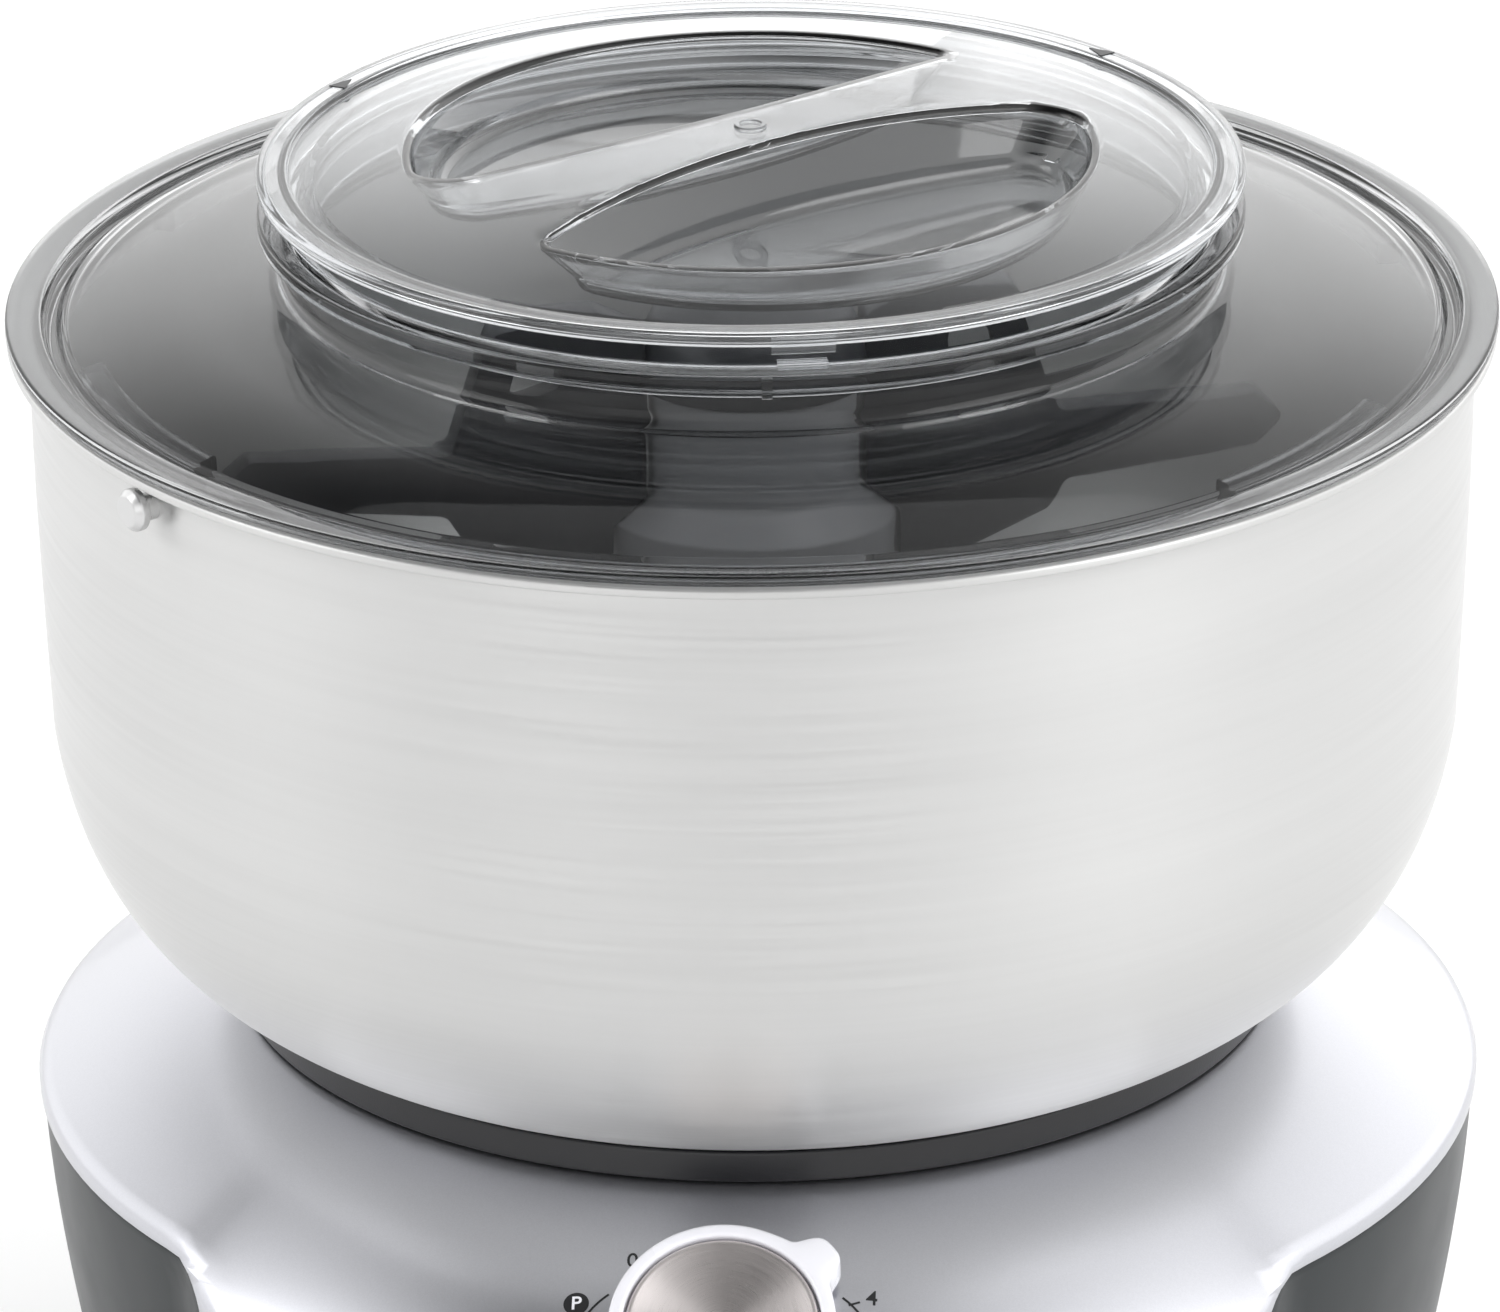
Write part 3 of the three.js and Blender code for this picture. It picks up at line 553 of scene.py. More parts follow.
def build_side_shell():
    """The dark wrap-around panel under the deck's lip."""
    around = 170
    levels = 36
    bm = bmesh.new()
    rows = []
    for k in range(levels + 1):
        z = mix(LIP_Z - PANEL_GAP, BASE_BOTTOM_Z, (k / levels) ** 1.2)
        reach = apron_half(z, PANEL_GAP)
        angles = [mix(reach, 2 * math.pi - reach, i / around) for i in range(around + 1)]
        rows.append([bm.verts.new(skin_point(angle, z, PANEL_INSET)) for angle in angles])
    bridge(bm, rows, wrap=False)
    bmesh.ops.recalc_face_normals(bm, faces=bm.faces)
    bm.faces.ensure_lookup_table()
    middle = bm.faces[around // 2]
    if middle.normal.dot(middle.calc_center_median()) < 0:
        bmesh.ops.reverse_faces(bm, faces=bm.faces)
    mesh_piece("side_panel", bm, LOOKS["slate_panel"], "base", ["side_shell"],
               thickness=SHELL_WALL, bevel=0.7, outward=False)


def build_small_turned():
    """Feet, gland, spindle and housing: turned pieces round their own axes."""
    for i in range(1, 5):
        node = f"foot_{i}"
        at = (low(node) + high(node)) / 2 - Vector((0, AXIS_Y, 0))
        height = high(node).z
        profile = rounded([(0, 1.6), (7, 1.2, 1), (8.5, 0, 0.6), (12.5, 0, 0.8), (10.5, 4, 1.5), (10, height),
                           (0, height)])
        place = Matrix.Translation((at.x, at.y, 0))
        foot = turned(profile, 64, place=place)
        mesh_piece(f"rubber_foot_{i}", foot, LOOKS["rubber"], "base", [node])

    back = low("cord_gland").y - AXIS_Y
    middle_z = (low("cord_gland").z + high("cord_gland").z) / 2
    profile = rounded([(4, 0, 0.5), (7.6, 0), (7.6, 8), (11, 8, 0.4), (11, 10, 0.8), (9.4, 11.6, 0.8),
                       (4, 11.6, 0.8)])
    place = Matrix.Translation((0, back, middle_z)) @ Matrix.Rotation(-math.pi / 2, 4, "X")
    gland = turned(profile, 64, place=place)
    mesh_piece("gland_collar", gland, LOOKS["rubber"], "base", ["cord_gland"])

    top = high("drive_spindle").z
    bottom = low("drive_spindle").z
    profile = rounded([(0, bottom), (6, bottom, 0.5), (6, top, 0.8), (0, top)])
    mesh_piece("spindle", turned(profile, 64), LOOKS["steel"], "main_drive", ["drive_spindle"])

    z = high("spindle_housing").z
    profile = rounded([(13.3, z - 33), (16.5, z - 33), (16.5, z - 12, 2), (36, z - 10, 1), (36, z - 7, 1),
                       (21.6, z - 7, 1), (21.6, z, 1), (13.3, z, 0.6)])
    mesh_piece("spindle_collar", turned(profile, 96), LOOKS["black_plastic"], "base",
               ["spindle_housing"])


def build_dial():
    """Speed dial: a moulded ring with a pointer nub round a spun metal disc."""
    tilt = math.atan2(-DIAL_UP.y, DIAL_UP.z)
    place = Matrix.Translation(DIAL_AT) @ Matrix.Rotation(tilt, 4, "X")
    nub_angle = math.radians(130)        # 50 degrees clockwise from the top, seen from the front

    def with_nub(r, z, angle):
        if r < DISC_R + 2:
            return r
        arc = abs(math.remainder(angle - nub_angle, 2 * math.pi)) * DIAL_R
        return r + 4.4 * math.exp(-(arc / 3.9) ** 4) + 0.5 * math.exp(-(arc / 7.5) ** 4)

    grip = rounded([(3.3, 1.2), (DIAL_R, 1.2, 0.3), (DIAL_R, 8.2, 1.5), (DISC_R + 0.5, 8.2, 0.8),
                    (DISC_R + 0.5, 4.6), (3.3, 4.6)])
    mesh_piece("dial_grip", turned(grip, 240, with_nub, place), LOOKS["dial_white"], "dial",
               ["dial_ring"], sharp=50)

    face = rounded([(0, 4.9), (DISC_R, 4.9), (DISC_R, 7.4, 0.5), (16.6, 7.4), (16.2, 7.2), (0, 7.2)], 3)
    bm = turned(face, 180, place=place)
    spin = bm.loops.layers.uv.new("spin")
    back = place.inverted()
    for part in bm.faces:
        angles = []
        for loop in part.loops:
            at = back @ loop.vert.co
            angles.append(math.atan2(at.x, -at.y) if math.hypot(at.x, at.y) > 1e-4 else None)
        known = [a for a in angles if a is not None]
        wrapped = max(known) - min(known) > math.pi
        known = [a + 2 * math.pi if wrapped and a < 0 else a for a in known]
        for loop, angle in zip(part.loops, angles):
            at = back @ loop.vert.co
            if angle is None:
                angle = sum(known) / len(known)
            elif wrapped and angle < 0:
                angle += 2 * math.pi
            loop[spin].uv = (angle / (2 * math.pi), math.hypot(at.x, at.y) / DISC_R)
    mesh_piece("dial_face", bm, LOOKS["spun_metal"], "dial", ["dial_disc"])


def dial_plane(a, b):
    """Point of the apron's skin under (a right, b up the slope) from the dial's middle."""
    normal = DIAL_UP
    upward = Vector((0, DIAL_UP.z, -DIAL_UP.y))
    start = DIAL_AT + Vector((a, 0, 0)) + upward * b
    below, above = -14.0, 14.0
    for _ in range(22):
        height = (below + above) / 2
        at = start + normal * height
        angle = math.atan2(at.x, -at.y)
        if math.hypot(at.x, at.y) < radius_at(skin_profile(angle), min(at.z, DECK_Z - 0.01)):
            below = height
        else:
            above = height
    return start + normal * (below + above) / 2


def printed(name, bm, look, proud):
    """Lays a flat bmesh, drawn in the dial's plane, on the apron as a thin print."""
    for v in bm.verts:
        v.co = dial_plane(v.co.x, v.co.y) + DIAL_UP * proud
    bm.normal_update()
    bm.faces.ensure_lookup_table()
    if bm.faces[0].normal.dot(DIAL_UP) < 0:
        bmesh.ops.reverse_faces(bm, faces=bm.faces)
    mesh_piece(name, bm, look, "base", thickness=0.12, outward=False)


def glyph(text, at, size, stroke=0.0):
    """Flat mesh of a character centred at a point of the dial's plane."""
    curve = bpy.data.curves.new("glyph", "FONT")
    curve.body = text
    curve.size = size
    curve.offset = stroke
    curve.align_x = "CENTER"
    curve.align_y = "CENTER"
    curve.resolution_u = 4
    holder = bpy.data.objects.new("glyph", curve)
    bpy.context.scene.collection.objects.link(holder)
    mesh = bpy.data.meshes.new_from_object(holder.evaluated_get(bpy.context.evaluated_depsgraph_get()))
    bm = bmesh.new()
    bm.from_mesh(mesh)
    bpy.data.objects.remove(holder)
    bpy.data.curves.remove(curve)
    bpy.data.meshes.remove(mesh)
    bm.transform(Matrix.Translation((*at, 0)))
    return bm


def strip(points, width):
    """Flat band of the given width along points of the dial's plane."""
    bm = bmesh.new()
    rows = []
    for i, p in enumerate(points):
        along = (points[min(i + 1, len(points) - 1)] - points[max(i - 1, 0)]).normalized()
        side = Vector((-along.y, along.x)) * width / 2
        rows.append([bm.verts.new((*(p - side), 0)), bm.verts.new((*(p + side), 0))])
    bridge(bm, rows, wrap=False)
    return bm


def clock(radius, degrees):
    """A point of the dial's plane, degrees clockwise from the top."""
    turn = math.radians(degrees)
    return Vector((radius * math.sin(turn), radius * math.cos(turn)))


def build_dial_marks():
    """Numbers 0 to 4, a ringed P and the scale's line, printed on the apron."""
    black = LOOKS["black_plastic"]
    numbers = {"0": (24.9, -44), "1": (29, 244), "2": (29, 185), "3": (29, 127), "4": (28.7, 68)}
    for text, (radius, turn) in numbers.items():
        character = glyph(text, clock(radius, turn), 4.4, 0.03)
        printed(f"dial_mark_{text}", character, black, 0.06)
    disc = bmesh.new()
    bmesh.ops.create_circle(disc, cap_ends=True, segments=40, radius=2.35)
    disc.transform(Matrix.Translation((*clock(28.6, -72), 0)))
    printed("pulse_disc", disc, black, 0.05)
    printed("pulse_letter", glyph("P", clock(28.6, -72), 3.9, 0.05), LOOKS["dial_white"], 0.1)
    for side, name in ((1, "right"), (-1, "left")):
        points = []
        for i in range(41):
            turn = SCALE_START + (SCALE_END - SCALE_START) * i / 40
            swell = min(1.0, (turn - SCALE_START) / 26)
            points.append(clock(mix(23.8, 27, math.sin(swell * math.pi / 2)), side * turn))
        printed(f"scale_line_{name}", strip(points, 0.42), black, 0.06)
    for turn in (68, 127, 185, 244):
        ends = [clock(24.2 if turn == 68 else 26.6, turn), clock(26.4 if turn == 68 else 28.0, turn)]
        printed(f"scale_tick_{turn}", strip([ends[0], (ends[0] + ends[1]) / 2, ends[1]], 0.4), black,
                0.065)


# ---------------------------------------------------------------- bowl
def build_bowl():
    floor = BOWL_FLOOR_Z
    lip = LID_Z - 2
    turn = bezier((72, floor), (107, floor + 1), (129, 168), (BOWL_LOW_R, BOWL_LOW_Z), 34)
    wall = []
    for i in range(1, 9):
        t = i / 8
        radius = mix(BOWL_LOW_R, BOWL_R, math.sin(t * math.pi / 2))
        wall.append(Vector((radius, mix(BOWL_LOW_Z, LID_Z - 6.2, t))))
    outer = [tuple(p) for p in turn + wall]
    inner = []
    for i, (r, z) in enumerate(outer):
        share = min(1.0, (z - floor) / 60)
        inner.append((r - BOWL_WALL * math.sqrt(share), z + BOWL_WALL * (1 - share)))
    inner = inner[1:]
    rim = [(BOWL_R, lip - 2.6, 1.6), (LID_R - 0.2, lip - 2.2, 0.7), (LID_R - 0.2, lip - 0.4, 0.7),
           (BOWL_R - BOWL_WALL, lip - 0.4, 1.6)]
    profile = rounded([(BOWL_BORE_R, floor, 0.4), *outer, *rim, *reversed(inner),
                       (BOWL_BORE_R, floor + BOWL_WALL, 0.4)])
    mesh_piece("steel_bowl", turned(profile, 240), LOOKS["bowl_steel"], "bowl", ["bowl_shell"])

    rise = DECK_Z + 7.5
    foot = rounded([(64, floor - 0.4), (64, DECK_Z - 2.5, 0.5), (SEAT_R - 2, DECK_Z - 2.5, 0.6),
                    (SEAT_R - 1, DECK_Z + 0.3), (FOOT_R, DECK_Z + 0.3, 0.5), (99.8, rise - 1.1, 0.7),
                    (94, rise - 3.3), (86, rise - 5.5), (74, floor - 0.4)])
    mesh_piece("foot_ring", turned(foot, 200), LOOKS["black_plastic"], "bowl", ["bowl_foot"])

    neck = POST_R - 7.2
    post = rounded([(13.8, floor - 1), (18.9, floor - 1), (18.9, floor + 4, 1), (POST_R + 1, floor + 8, 2),
                    (POST_R, 170, 5), (13.6, POST_TOP_Z - 8, 4), (neck + 2, POST_TOP_Z, 1.5),
                    (neck, POST_TOP_Z, 0.4), (neck, 168), (13.8, 166)])
    mesh_piece("centre_post", turned(post, 96), LOOKS["black_plastic"], "bowl",
               ["bowl_post"])

    stud = rounded([(0, 0), (2.6, 0), (2.6, 2.8, 0.6), (4, 3.2, 0.5), (4, 4.7, 0.7), (2.9, 5.9, 0.8),
                    (0, 6.2)], 4)
    for node in ("lid_stud_left", "lid_stud_right"):
        at = (low(node) + high(node)) / 2 - Vector((0, AXIS_Y, 0))
        angle = math.atan2(at.x, -at.y)
        place = (Matrix.Translation(polar(BOWL_R - 0.3, angle, at.z)) @ Matrix.Rotation(angle, 4, "Z")
                 @ Matrix.Rotation(math.pi / 2, 4, "X"))
        mesh_piece(f"{node}_pin", turned(stud, 48, place=place), LOOKS["steel"], "bowl", [node])


# ---------------------------------------------------------------- mixing tool
def plate(outline, hole, thickness, turn):
    """A flat plate standing on edge, turned about z: an outline of (reach, height) points, with a hole."""
    def dense(corners):
        loop = rounded([(*corner, 2.6) for corner in corners], 4)
        return [Vector(p) for p in loop]

    outer, inner = dense(outline), dense(hole)
    count = len(outer)
    edges = [(i, (i + 1) % count) for i in range(count)]
    edges += [(count + i, count + (i + 1) % len(inner)) for i in range(len(inner))]
    flat, _, triangles, *_ = delaunay_2d_cdt(outer + inner, edges, [], 0, 1e-5)
    bm = bmesh.new()
    sides = []
    for offset in (-thickness / 2, thickness / 2):
        verts = [bm.verts.new((p.x, offset, p.y)) for p in flat]
        for triangle in triangles:
            middle = sum((flat[i] for i in triangle), Vector((0, 0))) / 3
            if inside(middle, outer) and not inside(middle, inner):
                bm.faces.new([verts[i] for i in triangle])
        sides.append(verts)
    for a, b in edges:
        bm.faces.new([sides[0][a], sides[0][b], sides[1][b], sides[1][a]])
    bm.transform(Matrix.Rotation(turn, 4, "Z"))
    return bm


def build_tool():
    """Dark two-armed tool on a light sleeve that covers the bowl's post."""
    z = high("mixing_tool").z
    head = rounded([(6, z - 18), (21.5, z - 18, 1), (22, z - 12, 4), (19, z - 3, 6), (10, z, 4), (0, z),
                    (0, z - 11.5), (6, z - 11.5)])
    outline = [(21, -5), (30, -0.5), (50, -1), (58, -26), (97, -27), (103, -33), (98, -39.5), (60, -42),
               (57, -50), (42, -60), (29, -72), (27.6, -46), (21, -38)]
    window = [(36, -7), (45, -7), (49, -22), (38, -16)]
    place = Matrix.Translation((0, 0, z))
    for side, turn in (("right", ARM_TURN), ("left", ARM_TURN + math.pi)):
        arm = plate(outline, window, ARM_T, turn)
        arm.transform(place)
        mesh_piece(f"paddle_arm_{side}", arm, LOOKS["tool_grey"], "tool", ["mixing_tool"],
                   bevel=1.6)
    mesh_piece("paddle_head", turned(head, 96), LOOKS["tool_grey"], "tool", ["mixing_tool"])

    bore = POST_R + 1.6
    ceiling = POST_TOP_Z + 2.5
    step = SLEEVE_STEP_Z
    top = high("tool_sleeve").z
    sleeve = rounded([(bore, 178, 0.6), (24, 178, 1), (SLEEVE_LOW_R, 222, 20), (SLEEVE_LOW_R, step, 2),
                      (SLEEVE_R, step + 8, 4), (SLEEVE_R, top, 1), (6, top, 0.4), (6, ceiling),
                      (bore - 1.5, ceiling), (bore - 1, 228)])
    mesh_piece("sleeve", turned(sleeve, 120), LOOKS["tool_light"], "tool", ["tool_sleeve"])


# ---------------------------------------------------------------- lid
def build_lid():
    z = LID_Z
    collar_low = COLLAR_Z - COLLAR_H
    profile = rounded([
        (LID_R, z - 1.7, 0.4), (LID_R, z, 1.1), (133.4, z, 0.7), (132.4, z - 2, 0.7), (130.4, z - 2, 0.6),
        (129, z - 0.7, 1.2), (118, z + 2.5), (104, z + 5.2), (88.0, z + 7.5, 4),
        (87.4, collar_low - 0.3, 0.8), (COLLAR_R, collar_low, 0.6), (COLLAR_R, COLLAR_Z, 0.8),
        (NECK_R, COLLAR_Z, 0.8), (NECK_R, z + 5.5, 3), (104, z + 3.2), (118, z + 0.5), (128.2, z - 3.0, 1.5),
        (130, z - 9, 0.5), (131.8, z - 9, 0.5), (132.8, z - 1.7, 0.6)])
    bm = turned(profile, 280)
    ribs = []
    bar = rounded([(122.8, z - 6.8, 0.8), (128.0, z - 6.8, 0.8), (127.4, z - 3.4, 0.4),
                   (122.8, z - 2.4, 0.8)], 3)
    for middle, half in ((-64.2, 12.2), (53.6, 11.2), (115.8, 12.2), (233.6, 11.2)):
        start = math.radians(middle - half) + LID_TURN
        end = math.radians(middle + half) + LID_TURN
        ribs.append(sector(bar, start, end))
    mesh_piece("smoked_lid", merged(bm, *ribs), LOOKS["clear_lid"], "lid", ["splash_lid"])


# ---------------------------------------------------------------- cap
def circle_meet(a, ra, b, rb):
    """The two points where circles (a, ra) and (b, rb) cross."""
    gap = b - a
    along = (ra * ra - rb * rb + gap.length_squared) / (2 * gap.length)
    aside = math.sqrt(ra * ra - along * along)
    foot = a + gap.normalized() * along
    normal = Vector((-gap.y, gap.x)).normalized() * aside
    return foot + normal, foot - normal


def arc(centre, radius, start, end, steps):
    """Points of an arc from one angle to another by the shorter way, last point left out."""
    sweep = math.remainder(end - start, 2 * math.pi)
    points = []
    for i in range(steps):
        a = start + sweep * i / steps
        points.append(centre + Vector((math.cos(a), math.sin(a))) * radius)
    return points


def well_outline(inset, share=0.0):
    """Plan of a finger well, drawn in by inset: two arcs and two tips. share is 1 at the floor."""
    origin = Vector((0, 0))
    outer, inner = WELL_R - inset, WELL_ARC_R - inset
    blunt, sharp = WELL_TIP_ROUND - inset, WELL_TIP_SHARP - inset

    def heading(a, b):
        return math.atan2(b.y - a.y, b.x - a.x)

    right = max(circle_meet(origin, outer - sharp, WELL_ARC, inner - sharp), key=lambda p: p.x)
    left = min(circle_meet(origin, outer - blunt, WELL_ARC, inner - blunt), key=lambda p: p.x)
    points = arc(origin, outer, heading(origin, right), heading(origin, left), 48)
    points += arc(left, blunt, heading(origin, left), heading(WELL_ARC, left), 16)
    points += arc(WELL_ARC, inner, heading(WELL_ARC, left), heading(WELL_ARC, right), 48)
    points += arc(right, sharp, heading(WELL_ARC, right), heading(origin, right), 10)
    size = mix(1, WELL_DRAFT, share)
    return [WELL_MIDDLE + (p - WELL_MIDDLE) * size for p in points]


def build_cap():
    """Clear domed cap with two finger wells and a bridge between them."""
    crown = CAP_TOP_Z - CAP_EDGE_Z
    fillet = 1.5

    def dome(p):
        return CAP_EDGE_Z + crown * (1 - (p.length / CAP_EDGE_R) ** CAP_CROWN_POWER)

    def turn_half(points):
        return [-p for p in points]

    mouth = well_outline(0)
    outlines = [mouth, turn_half(mouth)]
    rim = [Vector((CAP_EDGE_R * math.sin(a), -CAP_EDGE_R * math.cos(a)))
           for a in (2 * math.pi * i / TURNS for i in range(TURNS))]
    points = list(rim) + outlines[0] + outlines[1]
    edges = [(i, (i + 1) % TURNS) for i in range(TURNS)]
    count = len(mouth)
    for k in range(2):
        start = TURNS + k * count
        edges += [(start + i, start + (i + 1) % count) for i in range(count)]
    keep_out = [well_outline(-1.3), turn_half(well_outline(-1.3))]
    spacing = 3.0
    for ring in range(1 + int((CAP_EDGE_R - 1.5) / spacing)):
        radius = ring * spacing
        steps = max(1, round(2 * math.pi * radius / spacing))
        for i in range(steps):
            a = 2 * math.pi * (i + 0.5 * (ring % 2)) / steps
            p = Vector((radius * math.cos(a), radius * math.sin(a)))
            if not any(inside(p, outline) for outline in keep_out):
                points.append(p)
    flat, _, triangles, *_ = delaunay_2d_cdt(points, edges, [], 0, 1e-5)
    bm = bmesh.new()
    verts = [bm.verts.new((p.x, p.y, dome(p))) for p in flat]
    for triangle in triangles:
        middle = sum((flat[i] for i in triangle), Vector((0, 0))) / 3
        if not any(inside(middle, outline) for outline in outlines):
            bm.faces.new([verts[i] for i in triangle])
    bm.verts.ensure_lookup_table()

    # wells: a rounded mouth, drawn-in walls, a filleted floor
    for k in range(2):
        sign = -1 if k else 1
        first = TURNS + k * count
        rows = [verts[first:first + count]]
        top = [dome(p) for p in mouth]
        levels = []
        for i in range(1, 6):
            a = math.pi / 2 * i / 5
            levels.append((fillet * math.sin(a), 0.0, [z - fillet * (1 - math.cos(a)) for z in top]))
        corner = 2.4
        for i in range(1, 7):
            t = i / 6
            levels.append((fillet, t, [mix(z - fillet, WELL_FLOOR_Z + corner, t) for z in top]))
        for i in range(1, 6):
            a = math.pi / 2 * i / 5
            level = WELL_FLOOR_Z + corner * (1 - math.sin(a))
            levels.append((fillet + corner * (1 - math.cos(a)), 1.0, [level] * count))
        for inset, share, heights in levels:
            outline = well_outline(inset, share)
            rows.append([bm.verts.new((p.x * sign, p.y * sign, z)) for p, z in zip(outline, heights)])
        bridge(bm, rows)
        bm.faces.new(rows[-1])

    # outer edge: a small step up to a flat rim with a rounded outside
    lip = rounded([(CAP_EDGE_R, CAP_EDGE_Z), (86.3, CAP_EDGE_Z, 0.3), (86.9, CAP_RIM_Z, 0.5),
                   (COLLAR_R, CAP_RIM_Z, 2.0), (COLLAR_R, CAP_RIM_Z - 2.3)])[1:]
    rows = [verts[:TURNS]]
    for p in lip:
        rows.append([bm.verts.new(polar(p.x, 2 * math.pi * i / TURNS, p.y)) for i in range(TURNS)])
    bridge(bm, rows)
    bmesh.ops.recalc_face_normals(bm, faces=bm.faces)
    bm.faces.ensure_lookup_table()
    if bm.faces[0].normal.z < 0:
        bmesh.ops.reverse_faces(bm, faces=bm.faces)
    bm.transform(Matrix.Rotation(LID_TURN, 4, "Z"))
    look = LOOKS["clear_cap"]
    mesh_piece("clear_cap", bm, look, "cap", ["filler_cap"], thickness=1.9, outward=False)

    top = CAP_EDGE_Z - 2.3
    skirt = rounded([(86.5, top + 1.1), (88.2, top + 1.1), (88.2, COLLAR_Z + 0.4, 0.4),
                     (86.5, COLLAR_Z + 0.4, 0.4)])
    plug = rounded([(81.4, top - 0.2), (83.2, top - 0.2), (83.6, COLLAR_Z - 7, 0.5),
                    (82.0, COLLAR_Z - 7, 0.5)])
    mesh_piece("cap_skirt", turned(skirt, 200), LOOKS["clear_inner"], "cap")
    mesh_piece("cap_plug_ring", turned(plug, 200), LOOKS["clear_inner"], "cap")
    gate = rounded([(2.0, CAP_TOP_Z - 0.2), (3.1, CAP_TOP_Z - 0.2), (3.1, CAP_TOP_Z + 0.5, 0.3),
                    (2.0, CAP_TOP_Z + 0.5, 0.3)])
    mesh_piece("gate_mark", turned(gate, 48), look, "cap")

    # catch at the front: a flat tab over the rim, a ramp under it and a stop on the collar
    catches = {
        "catch_tab": ((92.6, CAP_RIM_Z - 3.4, 0.2), (93.3, CAP_RIM_Z - 3.4, 0.2),
                      (93.3, CAP_RIM_Z - 0.3, 0.3), (92.6, CAP_RIM_Z - 0.3, 0.2), 2.1, 9.2),
        "catch_ramp": ((88.6, COLLAR_Z + 1.0, 0.2), (91.4, COLLAR_Z + 1.0, 0.3), (91.4, COLLAR_Z + 2.2, 0.3),
                       (88.6, COLLAR_Z + 2.2, 0.2), 2.8, 8.6),
    }
    for name, (*section, start, end) in catches.items():
        bar = sector(rounded(section, 3), math.radians(start) + LID_TURN, math.radians(end) + LID_TURN, 12)
        mesh_piece(name, bar, look, "cap")
    stop = rounded([(92.6, COLLAR_Z - COLLAR_H - 0.6, 0.3), (93.6, COLLAR_Z - COLLAR_H - 0.6, 0.3),
                    (93.6, COLLAR_Z + 0.3, 0.4), (92.6, COLLAR_Z + 0.3, 0.3)], 3)
    bar = sector(stop, math.radians(1.0) + LID_TURN, math.radians(2.2) + LID_TURN, 4)
    mesh_piece("collar_stop", bar, LOOKS["clear_lid"], "lid")

    # two arrowheads on the rim
    for name, angle, way in (("left", -119.2, 1), ("right", 130.9, -1)):
        bm = bmesh.new()
        here = math.radians(angle) + LID_TURN
        corners = [(90.5, -2.5), (88.7, 2.7), (87.2, -2.3)]
        rows = []
        for level in (CAP_RIM_Z + 0.05, CAP_RIM_Z + 0.3):
            rows.append([bm.verts.new(polar(r, here - way * side / 88, level)) for r, side in corners])
        bridge(bm, rows)
        bm.faces.new(rows[0])
        bm.faces.new(rows[1])
        mesh_piece(f"rim_arrow_{name}", bm, LOOKS["black_plastic"], "cap")


# ---------------------------------------------------------------- studio
def build_surroundings():
    """A white studio: bright low behind the machine, uneven overhead, with soft pale bands in front."""
    world = bpy.data.worlds.new("studio")
    bpy.context.scene.world = world
    world.use_nodes = True
    nodes, links = world.node_tree.nodes, world.node_tree.links
    heading = nodes.new("ShaderNodeSeparateXYZ")
    links.new(nodes.new("ShaderNodeTexCoord").outputs["Generated"], heading.inputs[0])
    x, y, z = heading.outputs
    brightest = max(level for _, level in AZIMUTH_LEVELS)

    def node_of(kind, *values):
        node = nodes.new(kind)
        for socket, value in zip(node.inputs, values):
            if isinstance(value, bpy.types.NodeSocket):
                links.new(value, socket)
            elif value is not None:
                socket.default_value = value
        return node

    def math_node(operation, first, second=0.0):
        node = node_of("ShaderNodeMath", first, second)
        node.operation = operation
        return node.outputs[0]

    def level_by(value, start, end, levels):
        """Colour of the surroundings where value, from start to end, meets the given (value, level) stops."""
        share = node_of("ShaderNodeMapRange", value, start, end).outputs[0]
        ramp = node_of("ShaderNodeValToRGB", share)
        ramp.color_ramp.interpolation = "EASE"
        stops = ramp.color_ramp.elements
        for i, (at, level) in enumerate(levels):
            stop = stops[i] if i < 2 else stops.new(0.5)
            stop.position = (at - start) / (end - start)
            stop.color = (level / brightest,) * 3 + (1,)
        return ramp.outputs[0]

    azimuth = math_node("MULTIPLY", math_node("ARCTAN2", x, math_node("MULTIPLY", y, -1.0)), 180 / math.pi)
    around = level_by(azimuth, -180, 180, AZIMUTH_LEVELS)
    above = level_by(x, -1, 1, CEILING_LEVELS)
    height = node_of("ShaderNodeMapRange", z, 0.3, 0.75)
    height.interpolation_type = "SMOOTHSTEP"
    both = nodes.new("ShaderNodeMix")
    both.data_type = "RGBA"
    links.new(height.outputs[0], both.inputs[0])
    links.new(around, both.inputs[6])
    links.new(above, both.inputs[7])
    background = nodes["Background"]
    links.new(both.outputs[2], background.inputs["Color"])
    background.inputs["Strength"].default_value = brightest


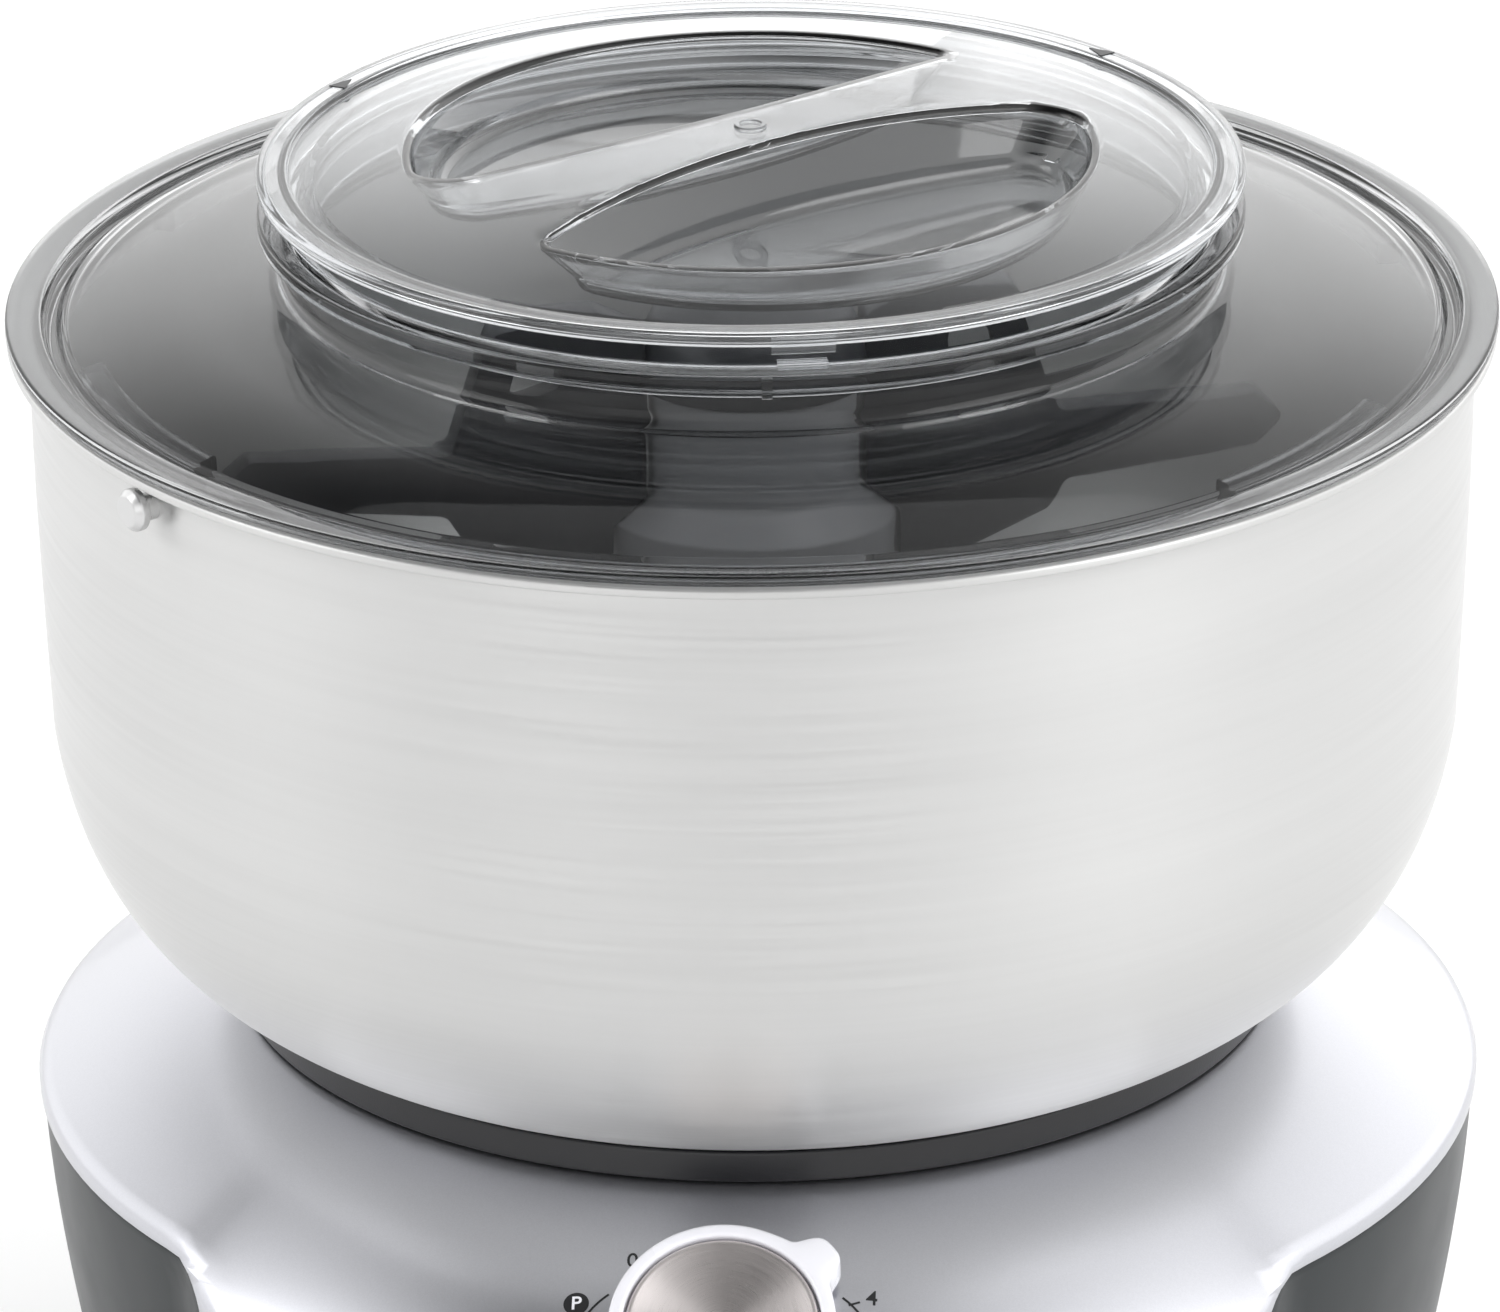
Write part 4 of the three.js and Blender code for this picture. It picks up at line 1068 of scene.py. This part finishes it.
def build_studio():
    """Pale floor, even white surroundings and large soft lamps."""
    bm = bmesh.new()
    bmesh.ops.create_grid(bm, x_segments=2, y_segments=2, size=12)
    mesh = bpy.data.meshes.new("floor")
    bm.to_mesh(mesh)
    bm.free()
    floor = bpy.data.objects.new("floor", mesh)
    bpy.context.scene.collection.objects.link(floor)
    paper = Finish("floor_paper", Roughness=0.9)
    paper.join("Base Color", paper.blend(paper.noise(3), (0.93, 0.93, 0.93), (0.95, 0.95, 0.95)))
    mesh.materials.append(paper.material)

    build_surroundings()
    target = Vector((0, AXIS_Y * MM, 0.2))
    lamps = {
        "key_left": ((-2.1, -0.6, 1.7), 1.5, 1.8, True),
        "key_right": ((1.9, -0.9, 1.8), 1.5, 2.0, True),
        "wash": ((0, 0.6, 3.0), 3.0, 1.2, False),
    }
    for name, (place, size, radiance, mirrored) in lamps.items():
        data = bpy.data.lights.new(name, "AREA")
        data.shape = "DISK"
        data.size = size
        data.energy = radiance * math.pi * math.pi * size ** 2 / 4
        lamp = bpy.data.objects.new(name, data)
        lamp.location = place
        lamp.rotation_euler = (target - lamp.location).to_track_quat("-Z", "Y").to_euler()
        lamp.visible_glossy = mirrored
        bpy.context.scene.collection.objects.link(lamp)
    bpy.context.scene.view_settings.view_transform = "Standard"


def build_camera():
    data = bpy.data.cameras.new("camera")
    camera = bpy.data.objects.new("camera", data)
    bpy.context.scene.collection.objects.link(camera)
    distance = 1.8413
    elevation = math.radians(20.72)
    swing = math.radians(2.9)
    look_at = Vector((0, AXIS_Y * MM, LID_Z * MM))
    level = distance * math.cos(elevation)
    camera.location = look_at + Vector((level * math.sin(swing), -level * math.cos(swing),
                                        distance * math.sin(elevation)))
    turn = Matrix.Rotation(swing + math.radians(0.03), 3, "Z")
    nod = Matrix.Rotation(math.radians(90 - 22.83), 3, "X")
    roll = Matrix.Rotation(math.radians(-0.485), 3, "Z")
    camera.rotation_euler = (turn @ nod @ roll).to_euler()
    data.sensor_width = 36
    data.lens = 235.28
    data.clip_end = 60
    bpy.context.scene.camera = camera


# ---------------------------------------------------------------- the scene
for part in frame["record"]["subparts"]:
    cad = frame["nodes"][part["node"]]
    cad.data.materials.clear()
    cad.data.materials.append(LOOKS[part["material_slot"]])

build_camera()
build_studio()
build_top_shell()
build_side_shell()
build_small_turned()
build_dial()
build_dial_marks()
build_bowl()
build_tool()
build_lid()
build_cap()
